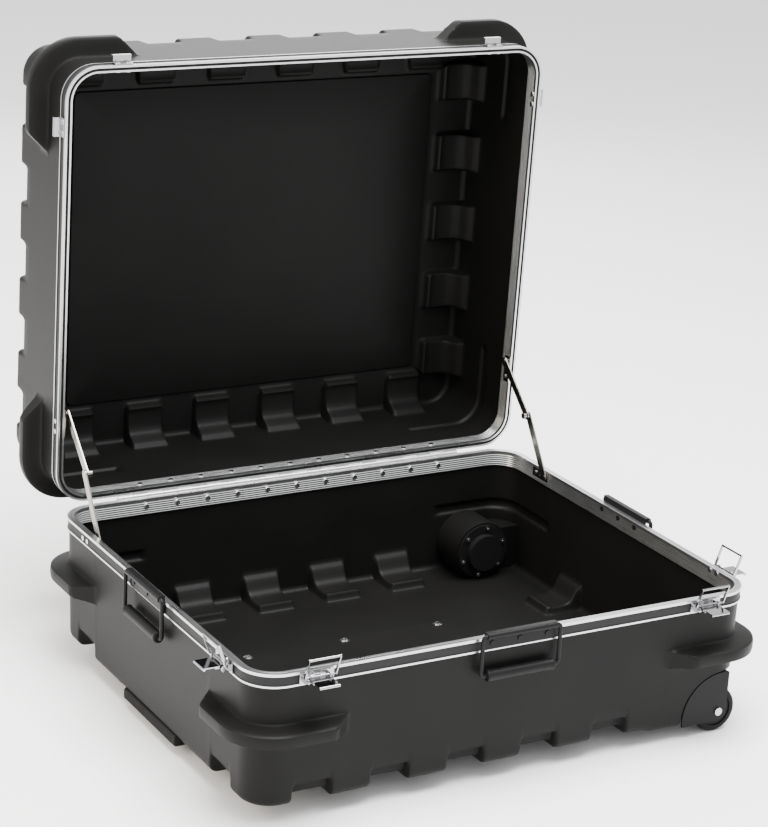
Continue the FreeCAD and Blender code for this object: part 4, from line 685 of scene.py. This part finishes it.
# ---------------------------------------------------------------- wheels
# Two soft wheels stand half inside the corner pockets. Moulded housings close the pockets and hold
# the axles; inside the case a round cup closes each wheel's hole and is screwed to the housing.
fitting_black = moulded_plastic("fitting_black", (0.0058, 0.0058, 0.0060), (0.0074, 0.0074, 0.0076),
                                0.44, 1100.0, 0.3)
tyre_black = moulded_plastic("tyre_black", (0.0055, 0.0055, 0.0055), (0.0090, 0.0090, 0.0088),
                             0.62, 1300.0, 0.5)
groove_pitch, groove_wide, groove_deep = 0.0045, 0.0009, 0.0009
wheel_x, axle_z = joints["front_wheel_spin"]["pos_m"][0], joints["front_wheel_spin"]["pos_m"][2]
for side in ("front", "rear"):
    finish_node(f"{side}_wheel_housing", fitting_black)
    finish_node(f"{side}_wheel_core", fitting_black)
    low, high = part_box(f"{side}_wheel_tyre")
    half, rim = (high.y - low.y) / 2, 0.0242
    tread, shoulder = 0.034, 0.006
    turn = np.linspace(0, pi / 2, 7)
    shoulders = [(half - shoulder + shoulder * sin(a), tread - shoulder + shoulder * cos(a)) for a in turn]
    flat = [(x, tread - groove_deep * (abs(x) % groove_pitch < groove_wide))
            for x in np.linspace(-half + shoulder, half - shoulder, 61)]
    section = [(-half, rim)] + [(-x, r) for x, r in shoulders[::-1]] + flat[1:-1] + shoulders + [(half, rim)]
    mesh = turned(f"{side}_tyre", section, "y", (wheel_x, (low.y + high.y) / 2, axle_z), 96)
    piece(f"{side}_tyre", mesh, f"{side}_wheel", tyre_black, [f"{side}_wheel_tyre"])
finish_node("wheel_cups", fitting_black)


# ---------------------------------------------------------------- pull handle
# A flat tray under the floor guides two aluminium tubes in plastic collars. The grip across their
# ends is ribbed over its whole length for wet hands.
tube_grey = plated_steel("tube_grey", (0.48, 0.48, 0.49), 0.3, (30.0, 700.0, 700.0))
finish_node("pull_handle_tubes", tube_grey)
finish_node("wheel_axles", tube_grey)
for name in ("pull_handle_tray", "pull_handle_collars"):
    finish_node(name, fitting_black)
grip_low, grip_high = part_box("pull_handle_grip")
rib_pitch, rib_deep, rib_rows = 0.0044, 0.0009, 330
half_x, half_z = (grip_high.x - grip_low.x) / 2, (grip_high.z - grip_low.z) / 2
turn = np.linspace(0, 2 * pi, 56, endpoint=False)
section = np.stack([half_x * np.sign(np.cos(turn)) * np.abs(np.cos(turn)) ** 0.45,
                    half_z * np.sign(np.sin(turn)) * np.abs(np.sin(turn)) ** 0.45], 1)
along = np.linspace(grip_low.y, grip_high.y, rib_rows)
ends = np.minimum(1, np.minimum(along - grip_low.y, grip_high.y - along) / 0.004)
rounding = 1 - 0.16 * (1 - np.sqrt(1 - (1 - ends) ** 2))
outer = np.clip(0.35 - section[:, 0] / half_x, 0, 1)
ribs = rib_deep * (0.5 - 0.5 * np.cos(2 * pi * along / rib_pitch)) * (ends >= 1)
scale = rounding[:, None] - ribs[:, None] * outer[None, :] / half_x
rows = np.stack([section[None, :, 0] * scale, np.tile(along[:, None], (1, len(turn))),
                 section[None, :, 1] * scale], -1)
rows = np.concatenate([rows[:1] * (0, 1, 0), rows, rows[-1:] * (0, 1, 0)])
rows += np.array([(grip_low.x + grip_high.x) / 2, 0, (grip_low.z + grip_high.z) / 2])
piece("pull_grip_ribbed", grid_mesh("pull_grip_ribbed", rows), "pull_handle",
      fitting_black, ["pull_handle_grip"])


# ---------------------------------------------------------------- folding stays
# A pair of nickel-plated steel arms on each side holds the lid open. They are joined by a knurled
# elbow knob and turn on brackets riveted inside the rims.
stay_nickel = plated_steel("stay_nickel", (0.34, 0.32, 0.29), 0.24, (60.0, 60.0, 60.0))
for side in ("left", "right"):
    for part in ("lower_arm", "upper_arm", "knob"):
        finish_node(f"{side}_stay_{part}", stay_nickel)
for name in ("stay_base_brackets", "stay_lid_brackets"):
    finish_node(name, stay_nickel)


low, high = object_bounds()
